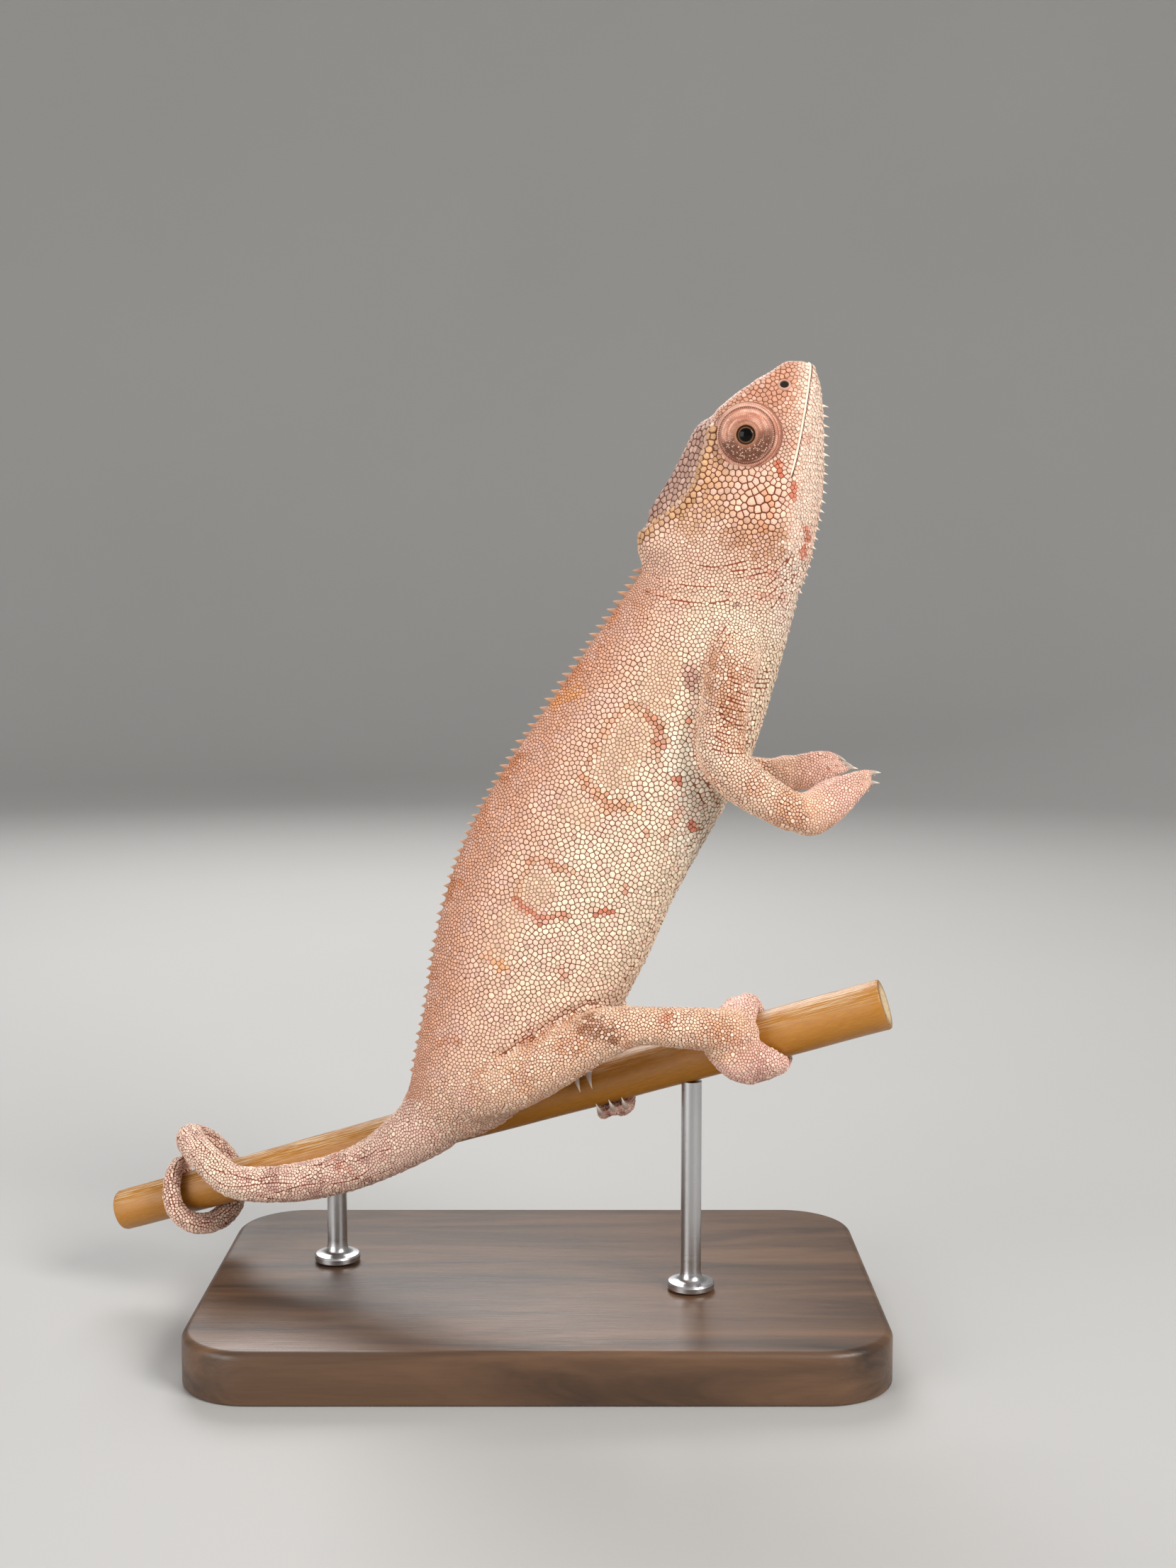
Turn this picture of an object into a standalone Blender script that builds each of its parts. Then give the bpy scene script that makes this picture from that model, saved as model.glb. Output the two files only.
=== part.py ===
"""A female panther chameleon climbing on a cut length of cane, held by a display stand.

The life-size still model has its origin at the middle of the underside of the stand's base,
+Z up, +X towards the raised end of the cane, and its right side faces -Y. The tables below are
in millimetres and solid() turns them into metres. Each piece is a smooth loft or sweep through
a few named stations, and pieces that touch keep GAP between them.
"""
import math

import bmesh
import bpy
from mathutils import Vector
from mathutils.bvhtree import BVHTree

MM = 0.001
GAP = 0.3
LIFT = 5.0  # the tables' zero level lies this far above the underside of the base

# The cane: a straight, slightly tapered stem that rises and comes nearer towards +X.
CANE_POINT = Vector((-10.3, 0.0, 38.1))
CANE_AXIS = Vector((0.926, -0.218, 0.308)).normalized()
CANE_START, CANE_END = -84.0, 82.0
CANE_RADIUS, CANE_TAPER = 4.5, 0.0045
CANE_FRONT = (Vector((0, -1, 0)) + CANE_AXIS * CANE_AXIS.y).normalized()
CANE_TOP = CANE_FRONT.cross(CANE_AXIS).normalized()

# The stand: a rounded plate, and two rods up to the cane.
BASE_LENGTH, BASE_DEPTH, BASE_HEIGHT, BASE_CORNER = 132.0, 86.0, 10.0, 14.0
BASE_EDGE = 1.2
ROD_RADIUS, ROD_FOOT_RADIUS, ROD_FOOT_HEIGHT = 2.0, 4.6, 1.6
ROD_PLACES = (-34.0, 43.0)

# The body, from the root of the tail to the snout. Each station is a slice: its upper and lower
# end in the animal's own middle plane (x, z), that plane's y, and its greatest half width.
TRUNK = (
    ((-27.6, 41.5), (-15.3, 34.7), -8.8, 6.2),
    ((-25.4, 46.2), (-6.7, 38.6), -11.3, 7.3),
    ((-23.7, 54.5), (5.0, 49.6), -12.5, 8.8),
    ((-21.9, 63.5), (14.7, 59.8), -12.2, 10.2),
    ((-20.1, 74.6), (21.1, 71.1), -11.6, 11.2),
    ((-17.2, 86.2), (25.8, 81.8), -11.0, 11.8),
    ((-13.0, 96.5), (30.5, 90.7), -11.0, 12.0),
    ((-7.4, 106.4), (34.9, 98.5), -11.0, 11.8),
    ((-0.7, 116.4), (39.2, 106.0), -11.0, 11.2),
    ((6.1, 126.1), (42.1, 113.4), -11.0, 10.3),
    ((11.6, 134.0), (44.8, 122.2), -11.0, 9.5),
    ((16.0, 140.2), (47.3, 131.6), -11.0, 8.8),
)
# How a slice of the trunk widens: (how far down it, share of the half width).
TRUNK_PROFILE = ((0.015, 0.13), (0.12, 0.5), (0.24, 0.76), (0.52, 1.0), (0.81, 0.82), (0.955, 0.44))
# A slice of the head has its own widths: the ridge on top, the side crest at its own share of
# the way down, just under it, the side, the jaw and the chin.
HEAD = (
    ((19.3, 145.4), (49.8, 141.0), 0.12, (1.5, 4.6, 6.4, 8.6, 7.6, 3.8)),
    ((18.0, 150.2), (51.6, 146.8), 0.06, (1.2, 3.0, 5.4, 9.0, 8.2, 3.8)),
    ((19.2, 153.8), (52.6, 151.7), 0.15, (1.0, 5.3, 5.9, 9.3, 8.6, 3.8)),
    ((21.4, 157.8), (53.5, 156.2), 0.20, (1.0, 6.9, 6.9, 9.4, 8.8, 3.8)),
    ((24.2, 162.0), (54.0, 160.6), 0.20, (1.2, 7.7, 7.4, 9.1, 8.8, 3.7)),
    ((26.6, 166.4), (54.1, 165.0), 0.16, (1.6, 7.8, 7.4, 8.3, 8.3, 3.6)),
    ((29.2, 171.4), (54.0, 169.4), 0.13, (2.4, 7.2, 6.9, 7.5, 7.5, 3.4)),
    ((33.2, 174.7), (53.9, 173.2), 0.12, (2.8, 6.2, 6.1, 6.8, 6.6, 3.1)),
    ((37.8, 178.6), (53.6, 176.8), 0.13, (2.6, 4.9, 5.0, 5.8, 5.5, 2.8)),
    ((41.8, 181.1), (53.2, 179.3), 0.14, (2.2, 3.9, 4.1, 4.7, 4.5, 2.4)),
    ((45.0, 183.1), (52.5, 181.4), 0.15, (1.9, 3.2, 3.4, 3.8, 3.6, 2.0)),
    ((46.9, 184.1), (51.6, 182.8), 0.16, (1.3, 2.2, 2.4, 2.7, 2.6, 1.5)),
)
HEAD_PLANE = -11.0
HEAD_PROFILE_DOWN = (0.015, None, None, 0.50, 0.80, 0.955)
UNDER_CREST = 0.10
SNOUT_CAP = Vector((49.2, HEAD_PLANE, 184.4))
STEPS_AROUND = (1, 2, 2, 3, 3, 2, 1)
STEPS_ALONG = 3
NECK_FROM, HEAD_FROM, HEAD_TO = 10.0, 12.0, 23.0  # stations, counted on from trunk to head

# The tail past the trunk: station along the cane, degrees round it from the front over the top,
# radius, and how far it stands off the cane besides the gap.
TAIL_ROOT = ((-15.6, -11.2, 43.4, 6.2), (-20.9, -9.0, 38.5, 6.6))
TAIL = (
    (-21.5, -5, 4.75, 0.2),
    (-32.8, -14, 4.25, 0.0),
    (-44.0, -8, 3.95, 0.0),
    (-53.6, 12, 3.6, 0.3),
    (-58.6, 48, 3.35, 1.3),
    (-62.2, 74, 3.2, 2.9),
    (-64.0, 94, 3.1, 3.3),
    (-63.4, 124, 2.95, 2.2),
    (-61.8, 158, 2.85, 0.8),
    (-61.4, 196, 2.75, 0.1),
    (-62.2, 236, 2.65, 0.0),
    (-64.4, 276, 2.5, 0.1),
    (-67.1, 314, 2.35, 0.3),
    (-68.8, 352, 2.15, 0.1),
    (-68.5, 394, 2.0, 0.0),
    (-68.2, 436, 1.85, 0.0),
    (-69.2, 480, 1.65, 0.0),
    (-70.8, 524, 1.5, 0.0),
    (-72.2, 566, 1.3, 0.0),
    (-72.8, 604, 1.1, 0.0),
    (-73.2, 636, 0.8, 0.1),
)
TAIL_PARTS = (("tail_base", 0, 4), ("tail_middle", 4, 8), ("tail_loop", 8, 13),
              ("tail_turn", 13, 17), ("tail_tip", 17, 22))

# The legs: points (x, y, z) with radii down each one's middle, and the point where it divides.
RIGHT_ARM = (((37.6, -15.0, 134.0), 5.0), ((36.0, -20.5, 126.5), 5.0), ((34.4, -22.6, 118.0), 4.7),
             ((34.2, -23.4, 110.4), 4.7), ((38.4, -23.2, 105.6), 4.6), ((43.6, -22.4, 102.2), 4.1),
             ((48.2, -21.4, 99.6), 4.0))
LEFT_ARM = (((37.6, -7.0, 134.0), 5.0), ((36.0, -1.5, 127.0), 5.0), ((33.4, 1.4, 119.0), 4.7),
            ((31.4, 2.6, 111.0), 4.7), ((35.6, 1.6, 106.6), 4.5), ((40.6, -0.6, 105.4), 4.0),
            ((45.4, -2.6, 105.2), 3.8))
RIGHT_LEG = (((-13.0, -14.5, 45.6), 6.4), ((-6.0, -18.5, 48.4), 6.2), ((1.5, -21.0, 52.4), 5.7),
             ((8.0, -22.8, 56.4), 5.2), ((13.4, -24.0, 59.4), 4.9), ((19.5, -24.2, 60.5), 3.8),
             ((26.6, -22.8, 59.8), 4.1), ((34.4, -20.6, 59.0), 4.3))
LEFT_LEG = (((-12.0, -8.5, 48.5), 6.4), ((-7.0, -2.4, 52.6), 6.3), ((-2.2, 4.2, 56.6), 5.8),
            ((2.0, 10.2, 59.8), 5.0), ((6.4, 13.8, 61.2), 4.3), ((11.0, 14.2, 59.8), 3.9),
            ((14.0, 11.8, 56.6), 3.7), ((14.4, 8.2, 53.0), 3.8), ((13.0, 5.0, 50.0), 4.0))
ARM_BENDS_AT, LEG_BENDS_AT = 3, 4
LIMB_SIDES = 14

# Hands in the air: the palm, then the toes of its two bundles, as (x, y, z, radius) rows.
RIGHT_PALM = ((48.2, -21.4, 99.6, 4.0), (50.8, -20.4, 99.9, 4.6), (53.0, -19.6, 101.4, 3.8))
RIGHT_FINGERS = (
    ((50.5, -21.6, 101.2, 2.6), (54.4, -22.3, 103.6, 2.5), (58.2, -22.4, 106.0, 2.0),
     (61.2, -21.8, 107.3, 1.25)),
    ((51.4, -21.8, 98.4, 3.0), (54.8, -22.5, 100.8, 2.8), (58.0, -22.4, 103.4, 2.2),
     (61.0, -21.8, 105.5, 1.25)),
    ((50.5, -18.0, 101.4, 2.3), (54.0, -15.8, 103.6, 2.2), (57.2, -15.0, 105.0, 1.8),
     (59.6, -15.0, 105.6, 1.2)),
    ((51.2, -18.0, 100.0, 2.4), (54.8, -15.6, 101.8, 2.3), (58.0, -14.8, 103.4, 1.8),
     (60.4, -14.8, 104.0, 1.2)),
    ((51.4, -18.0, 98.6, 2.4), (54.6, -15.8, 100.0, 2.2), (57.4, -15.0, 101.6, 1.8),
     (59.6, -15.0, 102.4, 1.2)),
)
RIGHT_WEB = (((49.4, -21.4, 99.6, 4.2), (53.6, -21.8, 101.0, 3.9), (57.0, -22.0, 103.8, 3.0),
              (59.4, -21.8, 105.8, 1.9)),
             ((50.0, -19.0, 99.8, 3.6), (53.4, -16.8, 101.4, 3.2), (56.4, -15.6, 102.8, 2.5)))
LEFT_PALM = ((45.4, -2.6, 105.2, 3.8), (48.4, -2.4, 105.8, 4.0), (51.0, -2.0, 106.0, 3.3))
LEFT_FINGERS = (
    ((48.6, -4.0, 107.2, 2.2), (52.2, -5.0, 108.4, 2.1), (55.2, -5.2, 109.2, 1.6), (57.2, -4.8, 109.2, 1.1)),
    ((48.8, -4.2, 105.8, 2.3), (52.6, -5.2, 106.8, 2.2), (56.2, -5.4, 107.7, 1.6), (58.6, -5.0, 107.9, 1.1)),
    ((48.8, -4.2, 104.4, 2.3), (52.6, -5.2, 105.0, 2.2), (56.6, -5.4, 106.4, 1.6), (59.4, -5.0, 107.1, 1.1)),
    ((48.6, -1.0, 106.6, 2.3), (52.2, 1.0, 107.4, 2.2), (55.6, 1.8, 107.4, 1.8), (57.8, 1.8, 107.0, 1.2)),
    ((48.6, -1.0, 104.8, 2.3), (52.4, 1.0, 105.0, 2.2), (55.8, 1.8, 105.2, 1.8), (58.0, 1.8, 105.0, 1.2)),
)
LEFT_WEB = (((47.6, -3.4, 105.6, 3.7), (51.6, -4.4, 106.6, 3.3), (55.0, -5.0, 107.4, 2.5)),
            ((47.6, -1.8, 105.6, 3.6), (51.4, 0.2, 106.2, 3.0), (54.6, 1.4, 106.4, 2.3)))
# Feet on the cane: the palm, then each toe as (station along the cane, degrees round, radius).
RIGHT_SOLE = ((34.4, -20.6, 59.0, 4.3), (36.2, -19.9, 58.5, 4.4), (38.2, -18.9, 57.6, 4.1))
RIGHT_TOES = (
    ((52.8, 10, 2.9), (53.6, 48, 2.7), (54.0, 95, 2.2), (54.3, 138, 1.8), (54.5, 168, 1.2)),
    ((54.2, 12, 2.8), (56.0, 48, 2.6), (56.7, 95, 2.2), (57.0, 138, 1.8), (57.2, 168, 1.2)),
    ((52.8, -8, 2.8), (53.8, -48, 2.2), (54.4, -92, 1.45), (54.6, -132, 1.35), (54.8, -160, 1.1)),
    ((54.2, -8, 2.9), (56.2, -46, 2.2), (57.2, -88, 1.45), (57.6, -130, 1.35), (57.8, -160, 1.1)),
    ((54.6, -12, 2.7), (58.2, -38, 2.2), (59.8, -78, 1.4), (60.4, -124, 1.3), (60.6, -156, 1.1)),
)
RIGHT_PADS = (((51.5, 20, 4.2, -0.6), (53.2, 46, 3.7, -0.6), (54.6, 76, 2.5, -0.5)),
              ((52.4, 18, 3.8, -0.6), (55.8, 48, 3.0, -0.5), (57.0, 78, 2.3, -0.3)),
              ((51.5, 18, 4.2, -0.6), (53.2, -8, 4.1, -0.8), (54.6, -38, 3.0, -0.9), (56.0, -74, 1.6, -0.3)),
              ((52.0, 16, 4.0, -0.8), (54.8, -8, 3.8, -1.0), (57.0, -36, 2.9, -0.9), (58.6, -66, 1.7, -0.4)),
              ((52.4, 14, 3.8, -0.8), (56.0, -8, 3.2, -1.0), (58.6, -28, 2.6, -0.9), (60.4, -48, 1.8, -0.5)))
LEFT_SOLE = ((13.0, 5.0, 50.6, 3.8), (12.6, 3.4, 48.4, 4.1), (12.8, 2.2, 46.4, 3.9))
LEFT_TOES = (
    ((21.8, 165, 2.4), (21.4, 120, 2.2), (21.1, 84, 1.8), (21.0, 58, 1.4), (21.0, 34, 1.05)),
    ((24.2, 165, 2.4), (24.0, 120, 2.2), (23.8, 84, 1.8), (23.7, 58, 1.4), (23.6, 34, 1.05)),
    ((22.2, 195, 2.4), (22.2, 235, 2.0), (22.4, 270, 1.5), (22.6, 292, 1.0)),
    ((24.4, 195, 2.4), (24.8, 235, 2.0), (25.2, 272, 1.5), (25.4, 296, 1.0)),
    ((26.2, 195, 2.2), (27.0, 235, 1.9), (27.5, 270, 1.5), (27.8, 292, 1.0)),
)
FOOT_SHARE = 0.5  # of a foot's triangles are kept once its toes are joined
LEFT_PADS = (((22.4, 152, 3.4, -0.8), (22.2, 116, 2.7, -0.6)), ((24.6, 208, 3.6, -0.8), (25.6, 244, 2.8, -0.6)))
CLAW_LENGTH, CLAW_RADIUS, CLAW_TIP, CLAW_SINK = 2.0, 0.72, 0.12, 0.9

# The eye: a turret of lids on each side, turned on its own axis, with a small opening in front
# of the ball. The profile is (radius, height above the side of the head).
EYE_BASE = (39.0, 169.5)
EYE_OUT = 6.9
EYE_LOOKS = (-0.2, -1.0, -0.03)
TURRET = ((4.9, -3.2), (5.9, -1.6), (6.0, 0.0), (5.8, 1.2), (5.25, 2.4), (4.3, 3.4), (3.55, 3.8),
          (3.25, 3.7), (2.85, 4.2), (2.3, 4.35))
POCKET_RADIUS, BALL_RADIUS, BALL_HEIGHT = 2.9, 2.6, 1.9

# The line of the mouth from the snout to its corner, as (x, z), with a lip on each side of it.
MOUTH = ((50.8, 183.4), (50.6, 181.8), (50.1, 178.5), (49.1, 172.8), (47.8, 166.3), (46.6, 161.8))
LIP_RADIUS, LIP_FROM_LINE, MOUTH_GROOVE = 0.62, 0.72, 0.42
NOSTRIL_AT, NOSTRIL_RADIUS = (45.7, 179.0), 0.75

# Crests of small cones on the upper (0) or lower (2) edge of the slices: the stations between
# which they stand, how far apart, the height at the first and last, and their half width.
BACK_CREST = {"edge": 0, "from": 2.4, "to": 11.9, "pitch": 1.85, "heights": (0.6, 1.5), "width": 0.62}
THROAT_CREST = {"edge": 2, "from": 10.9, "to": 20.4, "pitch": 1.95, "heights": (0.5, 1.0), "width": 0.45}
SPINE_SINK, SPINE_LEAN, SPINE_CLEAR = 0.9, 0.25, 0.12


def clear_scene():
    for obj in list(bpy.data.objects):
        bpy.data.objects.remove(obj)


def finish(name, colour, roughness, metallic=0.0):
    """A plain surface finish."""
    made = bpy.data.materials.new(name)
    made.use_nodes = True
    shader = made.node_tree.nodes["Principled BSDF"]
    shader.inputs["Base Color"].default_value = (*colour, 1.0)
    shader.inputs["Roughness"].default_value = roughness
    shader.inputs["Metallic"].default_value = metallic
    return made


def between(before, here, after, beyond, t):
    """A share t of the way from here to after, on a smooth curve through all four numbers."""
    return 0.5 * (2 * here + (after - before) * t + (2 * before - 5 * here + 4 * after - beyond) * t * t
                  + (3 * here - before - 3 * after + beyond) * t ** 3)


def smooth_rows(rows, steps):
    """Rows of numbers along a smooth curve through the given rows, with this many steps a span."""
    count = len(rows)
    found = []
    for i in range(count - 1):
        a, b, c, d = rows[max(i - 1, 0)], rows[i], rows[i + 1], rows[min(i + 2, count - 1)]
        span = steps if isinstance(steps, int) else steps[i]
        for k in range(span):
            found.append(tuple(between(*four, k / span) for four in zip(a, b, c, d)))
    return found + [tuple(rows[-1])]


def solid(name, points, faces):
    """A closed mesh object from points in millimetres."""
    mesh = bpy.data.meshes.new(name)
    mesh.from_pydata([(p[0] * MM, p[1] * MM, (p[2] + LIFT) * MM) for p in points], [], faces)
    work = bmesh.new()
    work.from_mesh(mesh)
    bmesh.ops.recalc_face_normals(work, faces=work.faces)
    work.to_mesh(mesh)
    work.free()
    obj = bpy.data.objects.new(name, mesh)
    bpy.context.scene.collection.objects.link(obj)
    return obj


def loft(name, rings, start_cap=None, end_cap=None):
    """A closed skin over the rings. Each end closes on a point: its cap, or its ring's middle."""
    sides = len(rings[0])
    points = [p for ring in rings for p in ring]
    faces = []
    for k in range(len(rings) - 1):
        for j in range(sides):
            low, high = k * sides, (k + 1) * sides
            faces.append((low + j, low + (j + 1) % sides, high + (j + 1) % sides, high + j))
    for first, ring, cap in ((0, rings[0], start_cap), ((len(rings) - 1) * sides, rings[-1], end_cap)):
        points.append(cap or sum(ring, Vector()) / sides)
        faces.extend((first + j, first + (j + 1) % sides, len(points) - 1) for j in range(sides))
    return solid(name, points, faces)


def applied(obj):
    """Makes the object's modifiers real."""
    bpy.context.view_layer.update()
    evaluated = obj.evaluated_get(bpy.context.evaluated_depsgraph_get())
    mesh = bpy.data.meshes.new_from_object(evaluated)
    obj.modifiers.clear()
    obj.data = mesh
    return obj


def combine(obj, others, operation):
    """One Boolean of this object with all the others, which are used up."""
    group = bpy.data.collections.new(obj.name + "_others")
    bpy.context.scene.collection.children.link(group)
    for other in others:
        for home in list(other.users_collection):
            home.objects.unlink(other)
        group.objects.link(other)
    boolean = obj.modifiers.new(operation, "BOOLEAN")
    boolean.operation = operation
    boolean.operand_type = "COLLECTION"
    boolean.collection = group
    boolean.solver = "EXACT"
    applied(obj)
    for other in list(group.objects):
        bpy.data.objects.remove(other)
    bpy.data.collections.remove(group)
    return obj


def keep_largest(obj):
    """Keeps only the largest closed surface of the object."""
    work = bmesh.new()
    work.from_mesh(obj.data)
    bmesh.ops.triangulate(work, faces=work.faces)
    bmesh.ops.dissolve_degenerate(work, dist=1e-7, edges=work.edges)
    left = set(work.verts)
    shells = []
    while left:
        shell, edge = set(), [left.pop()]
        while edge:
            vert = edge.pop()
            shell.add(vert)
            for link in vert.link_edges:
                other = link.other_vert(vert)
                if other in left:
                    left.discard(other)
                    edge.append(other)
        shells.append(shell)
    shells.sort(key=len)
    bmesh.ops.delete(work, geom=[v for shell in shells[:-1] for v in shell], context="VERTS")
    work.to_mesh(obj.data)
    work.free()
    return obj


def simplified(obj, share):
    """The same shape with only this share of its triangles."""
    fewer = obj.modifiers.new("fewer", "DECIMATE")
    fewer.ratio = share
    return applied(obj)


def done(obj, surface):
    """Gives the finished node its surface and smooth shading."""
    obj.data.materials.clear()
    obj.data.materials.append(surface)
    obj.data.shade_smooth()
    obj.data.set_sharp_from_angle(angle=math.radians(50))
    return obj


def trunk_row(station):
    top, bottom, plane, half = station
    down = [f for f, _ in TRUNK_PROFILE]
    return (*top, *bottom, plane, *down, *(half * share for _, share in TRUNK_PROFILE))


def head_row(station):
    top, bottom, crest, widths = station
    down = [f for f in HEAD_PROFILE_DOWN]
    down[1], down[2] = crest, crest + UNDER_CREST
    return (*top, *bottom, HEAD_PLANE, *down, *widths)


def body_ring(row, grow=0.0):
    """One slice of the body as a ring of points, made larger all round by grow."""
    top, bottom = Vector((row[0], row[4], row[1])), Vector((row[2], row[4], row[3]))
    down = bottom - top
    shares, widths = row[5:11], row[11:17]
    half = [(0.0, 0.0), *zip(shares, widths), (1.0, 0.0)]
    half = smooth_rows(half, STEPS_AROUND)
    length = down.length
    reach = 1 + 2 * grow / length
    right, left = [], []
    for share, width in half:
        place = top + down * ((share - 0.5) * reach + 0.5)
        wide = width + grow if width > 0 else 0.0
        right.append(place + Vector((0, -wide, 0)))
        left.append(place + Vector((0, wide, 0)))
    return right + left[-2:0:-1]


def body_rows():
    rows = [trunk_row(s) for s in TRUNK] + [head_row(s) for s in HEAD]
    return smooth_rows(rows, STEPS_ALONG)


def moved(ring, step):
    return [p + step for p in ring]


def body_part(name, rows, start, end, end_cap=None, grow=0.0):
    """The stretch of the body between two stations, half a gap short at a cut end."""
    first, last = round(start * STEPS_ALONG), round(end * STEPS_ALONG)
    rings = [body_ring(row, grow) for row in rows[first:last + 1]]
    middle = [sum(ring, Vector()) / len(ring) for ring in rings]
    into, out = (middle[1] - middle[0]).normalized(), (middle[-2] - middle[-1]).normalized()
    rings[0] = moved(rings[0], into * (GAP / 2 - grow))
    if end_cap is None:
        rings[-1] = moved(rings[-1], out * (GAP / 2 - grow))
    return loft(name, rings, end_cap=end_cap)


def sweep_rings(places, sides, flat=1.0, steps=3, wide=None):
    """Rings along a smooth curve through (x, y, z, radius) rows. The ring is flat times as deep
    across its path and the wide direction."""
    rows = smooth_rows(places, steps)
    path = [Vector(row[:3]) for row in rows]
    rings = []
    side = wide or Vector((0, -1, 0))
    for k, row in enumerate(rows):
        along = (path[min(k + 1, len(path) - 1)] - path[max(k - 1, 0)]).normalized()
        side = (side - along * side.dot(along)).normalized()
        up = along.cross(side)
        rings.append([path[k] + row[3] * (side * math.cos(a) + up * flat * math.sin(a))
                      for a in (2 * math.pi * j / sides for j in range(sides))])
    return rings, path


def tube(name, places, sides=14, steps=3, flat=1.0, wide=None, cut_start=False, cut_end=False):
    """A limb or toe: a sweep with rounded ends, or an end cut square and half a gap short."""
    rings, path = sweep_rings(places, sides, flat, steps, wide)
    caps = []
    for cut, ring, at, inner in ((cut_start, 0, path[0], path[1]), (cut_end, -1, path[-1], path[-2])):
        out = (at - inner).normalized()
        if cut:
            rings[ring] = moved(rings[ring], out * (-GAP / 2))
            caps.append(None)
            continue
        radius = (rings[ring][0] - at).length
        extra = [[at + (p - at) * math.cos(t) + out * radius * 0.9 * math.sin(t) for p in rings[ring]]
                 for t in (math.radians(35), math.radians(65))]
        rings = extra[::-1] + rings if ring == 0 else rings + extra
        caps.append(at + out * radius * 0.9)
    return loft(name, rings, caps[0], caps[1])


def cane_radius(station):
    return CANE_RADIUS + CANE_TAPER * station


def round_cane(station, degrees, radius, off=0.0):
    """A (x, y, z, radius) row for something of this radius that lies against the cane."""
    turn = math.radians(degrees)
    reach = cane_radius(station) + GAP + off + radius
    at = CANE_POINT + CANE_AXIS * station
    at = at + reach * (CANE_FRONT * math.cos(turn) + CANE_TOP * math.sin(turn))
    return (*at, radius)


def on_cane(sweeps):
    return [[round_cane(*row) for row in sweep] for sweep in sweeps]


def cane_solid(name, grow=0.0, start=CANE_START, end=CANE_END, sides=32):
    rings = []
    for station in (start, end):
        at, radius = CANE_POINT + CANE_AXIS * station, cane_radius(station) + grow
        rings.append([at + radius * (CANE_FRONT * math.cos(a) + CANE_TOP * math.sin(a))
                      for a in (2 * math.pi * j / sides for j in range(sides))])
    return loft(name, rings)


def make_tail(trims, surface):
    """The lengths of the tail, the first of them trimmed to the end of the trunk."""
    rows = [*TAIL_ROOT, *(round_cane(*row) for row in TAIL)]
    for name, start, end in TAIL_PARTS:
        rings, path = sweep_rings(rows, 18 if start == 0 else 12)
        rings, path = rings[start * 3:end * 3 + 1], path[start * 3:end * 3 + 1]
        into, out = (path[1] - path[0]).normalized(), (path[-2] - path[-1]).normalized()
        rings[0] = moved(rings[0], into * GAP / 2)
        tip = None
        if end < len(rows) - 1:
            rings[-1] = moved(rings[-1], out * GAP / 2)
        else:
            tip = path[-1] - out * rows[-1][3]
        piece = loft(name, rings, end_cap=tip)
        if start == 0:
            combine(piece, trims(), "DIFFERENCE")
        done(keep_largest(piece), surface)


def make_limb(upper, lower, points, bend, trims, surface):
    """Two nodes on one path, parted at its bend, clear of the body and the cane."""
    rows = [(*at, radius) for at, radius in points]
    rings, path = sweep_rings(rows, LIMB_SIDES)
    middle = bend * 3
    for name, low, high in ((upper, 0, middle), (lower, middle, len(path) - 1)):
        part, line = rings[low:high + 1], path[low:high + 1]
        part[0] = moved(part[0], (line[1] - line[0]).normalized() * GAP / 2)
        part[-1] = moved(part[-1], (line[-2] - line[-1]).normalized() * GAP / 2)
        obj = loft(name, part)
        combine(obj, trims(), "DIFFERENCE")
        done(keep_largest(obj), surface)


def grown_limb(points):
    """The whole limb, larger by the gap all round and to just short of where its foot starts."""
    rings, path = sweep_rings([(*at, radius + GAP) for at, radius in points], LIMB_SIDES)
    rings[-1] = moved(rings[-1], (path[-1] - path[-2]).normalized() * GAP / 3)
    return loft("grown_limb", rings)


def make_foot(name, palm, webs, toes, trims, surface):
    """A mitten of toes: the palm, webs and toes are sweeps, joined, clear of the cane."""
    obj = tube(name, palm, sides=LIMB_SIDES, cut_start=True)
    combine(obj, [tube("web", web, sides=10, steps=2) for web in webs]
            + [tube("toe", toe, sides=8, steps=2) for toe in toes] + [claw(toe) for toe in toes], "UNION")
    simplified(keep_largest(obj), FOOT_SHARE)
    combine(obj, trims(), "DIFFERENCE")
    return done(keep_largest(obj), surface)


def claw(toe):
    """A small curved claw that goes on from the end of a toe."""
    end, inner = Vector(toe[-1][:3]), Vector(toe[-2][:3])
    out = (end - inner).normalized()
    tip = end + out * (toe[-1][3] * 0.9 + CLAW_LENGTH)
    root = tip - out * (CLAW_LENGTH + CLAW_SINK)
    rows = [(*root.lerp(tip, t), CLAW_RADIUS + (CLAW_TIP - CLAW_RADIUS) * t ** 1.3) for t in (0, 0.35, 0.7, 1)]
    return tube("claw", rows, sides=7, steps=1)


def turned(name, profile, at, axis, sides=20):
    """A closed shape of revolution round an axis, from (radius, height) pairs."""
    axis = Vector(axis).normalized()
    side = axis.orthogonal().normalized()
    up = axis.cross(side)
    rings = [[at + axis * h + r * (side * math.cos(a) + up * math.sin(a))
              for a in (2 * math.pi * j / sides for j in range(sides))] for r, h in profile]
    return loft(name, rings)


def ball(name, radius, at, axis, grow=0.0, sides=14):
    steps = [math.radians(22.5 * k) for k in range(1, 8)]
    reach = radius + grow
    return turned(name, [(reach * math.sin(t), -reach * math.cos(t)) for t in steps], at, axis, sides)


def eye_place(side):
    """Where the eye stands on this side of the head (-1 right, 1 left), and where it looks."""
    at = Vector((EYE_BASE[0], HEAD_PLANE + side * EYE_OUT, EYE_BASE[1]))
    return at, Vector((EYE_LOOKS[0], -side * EYE_LOOKS[1], EYE_LOOKS[2])).normalized()


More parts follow.
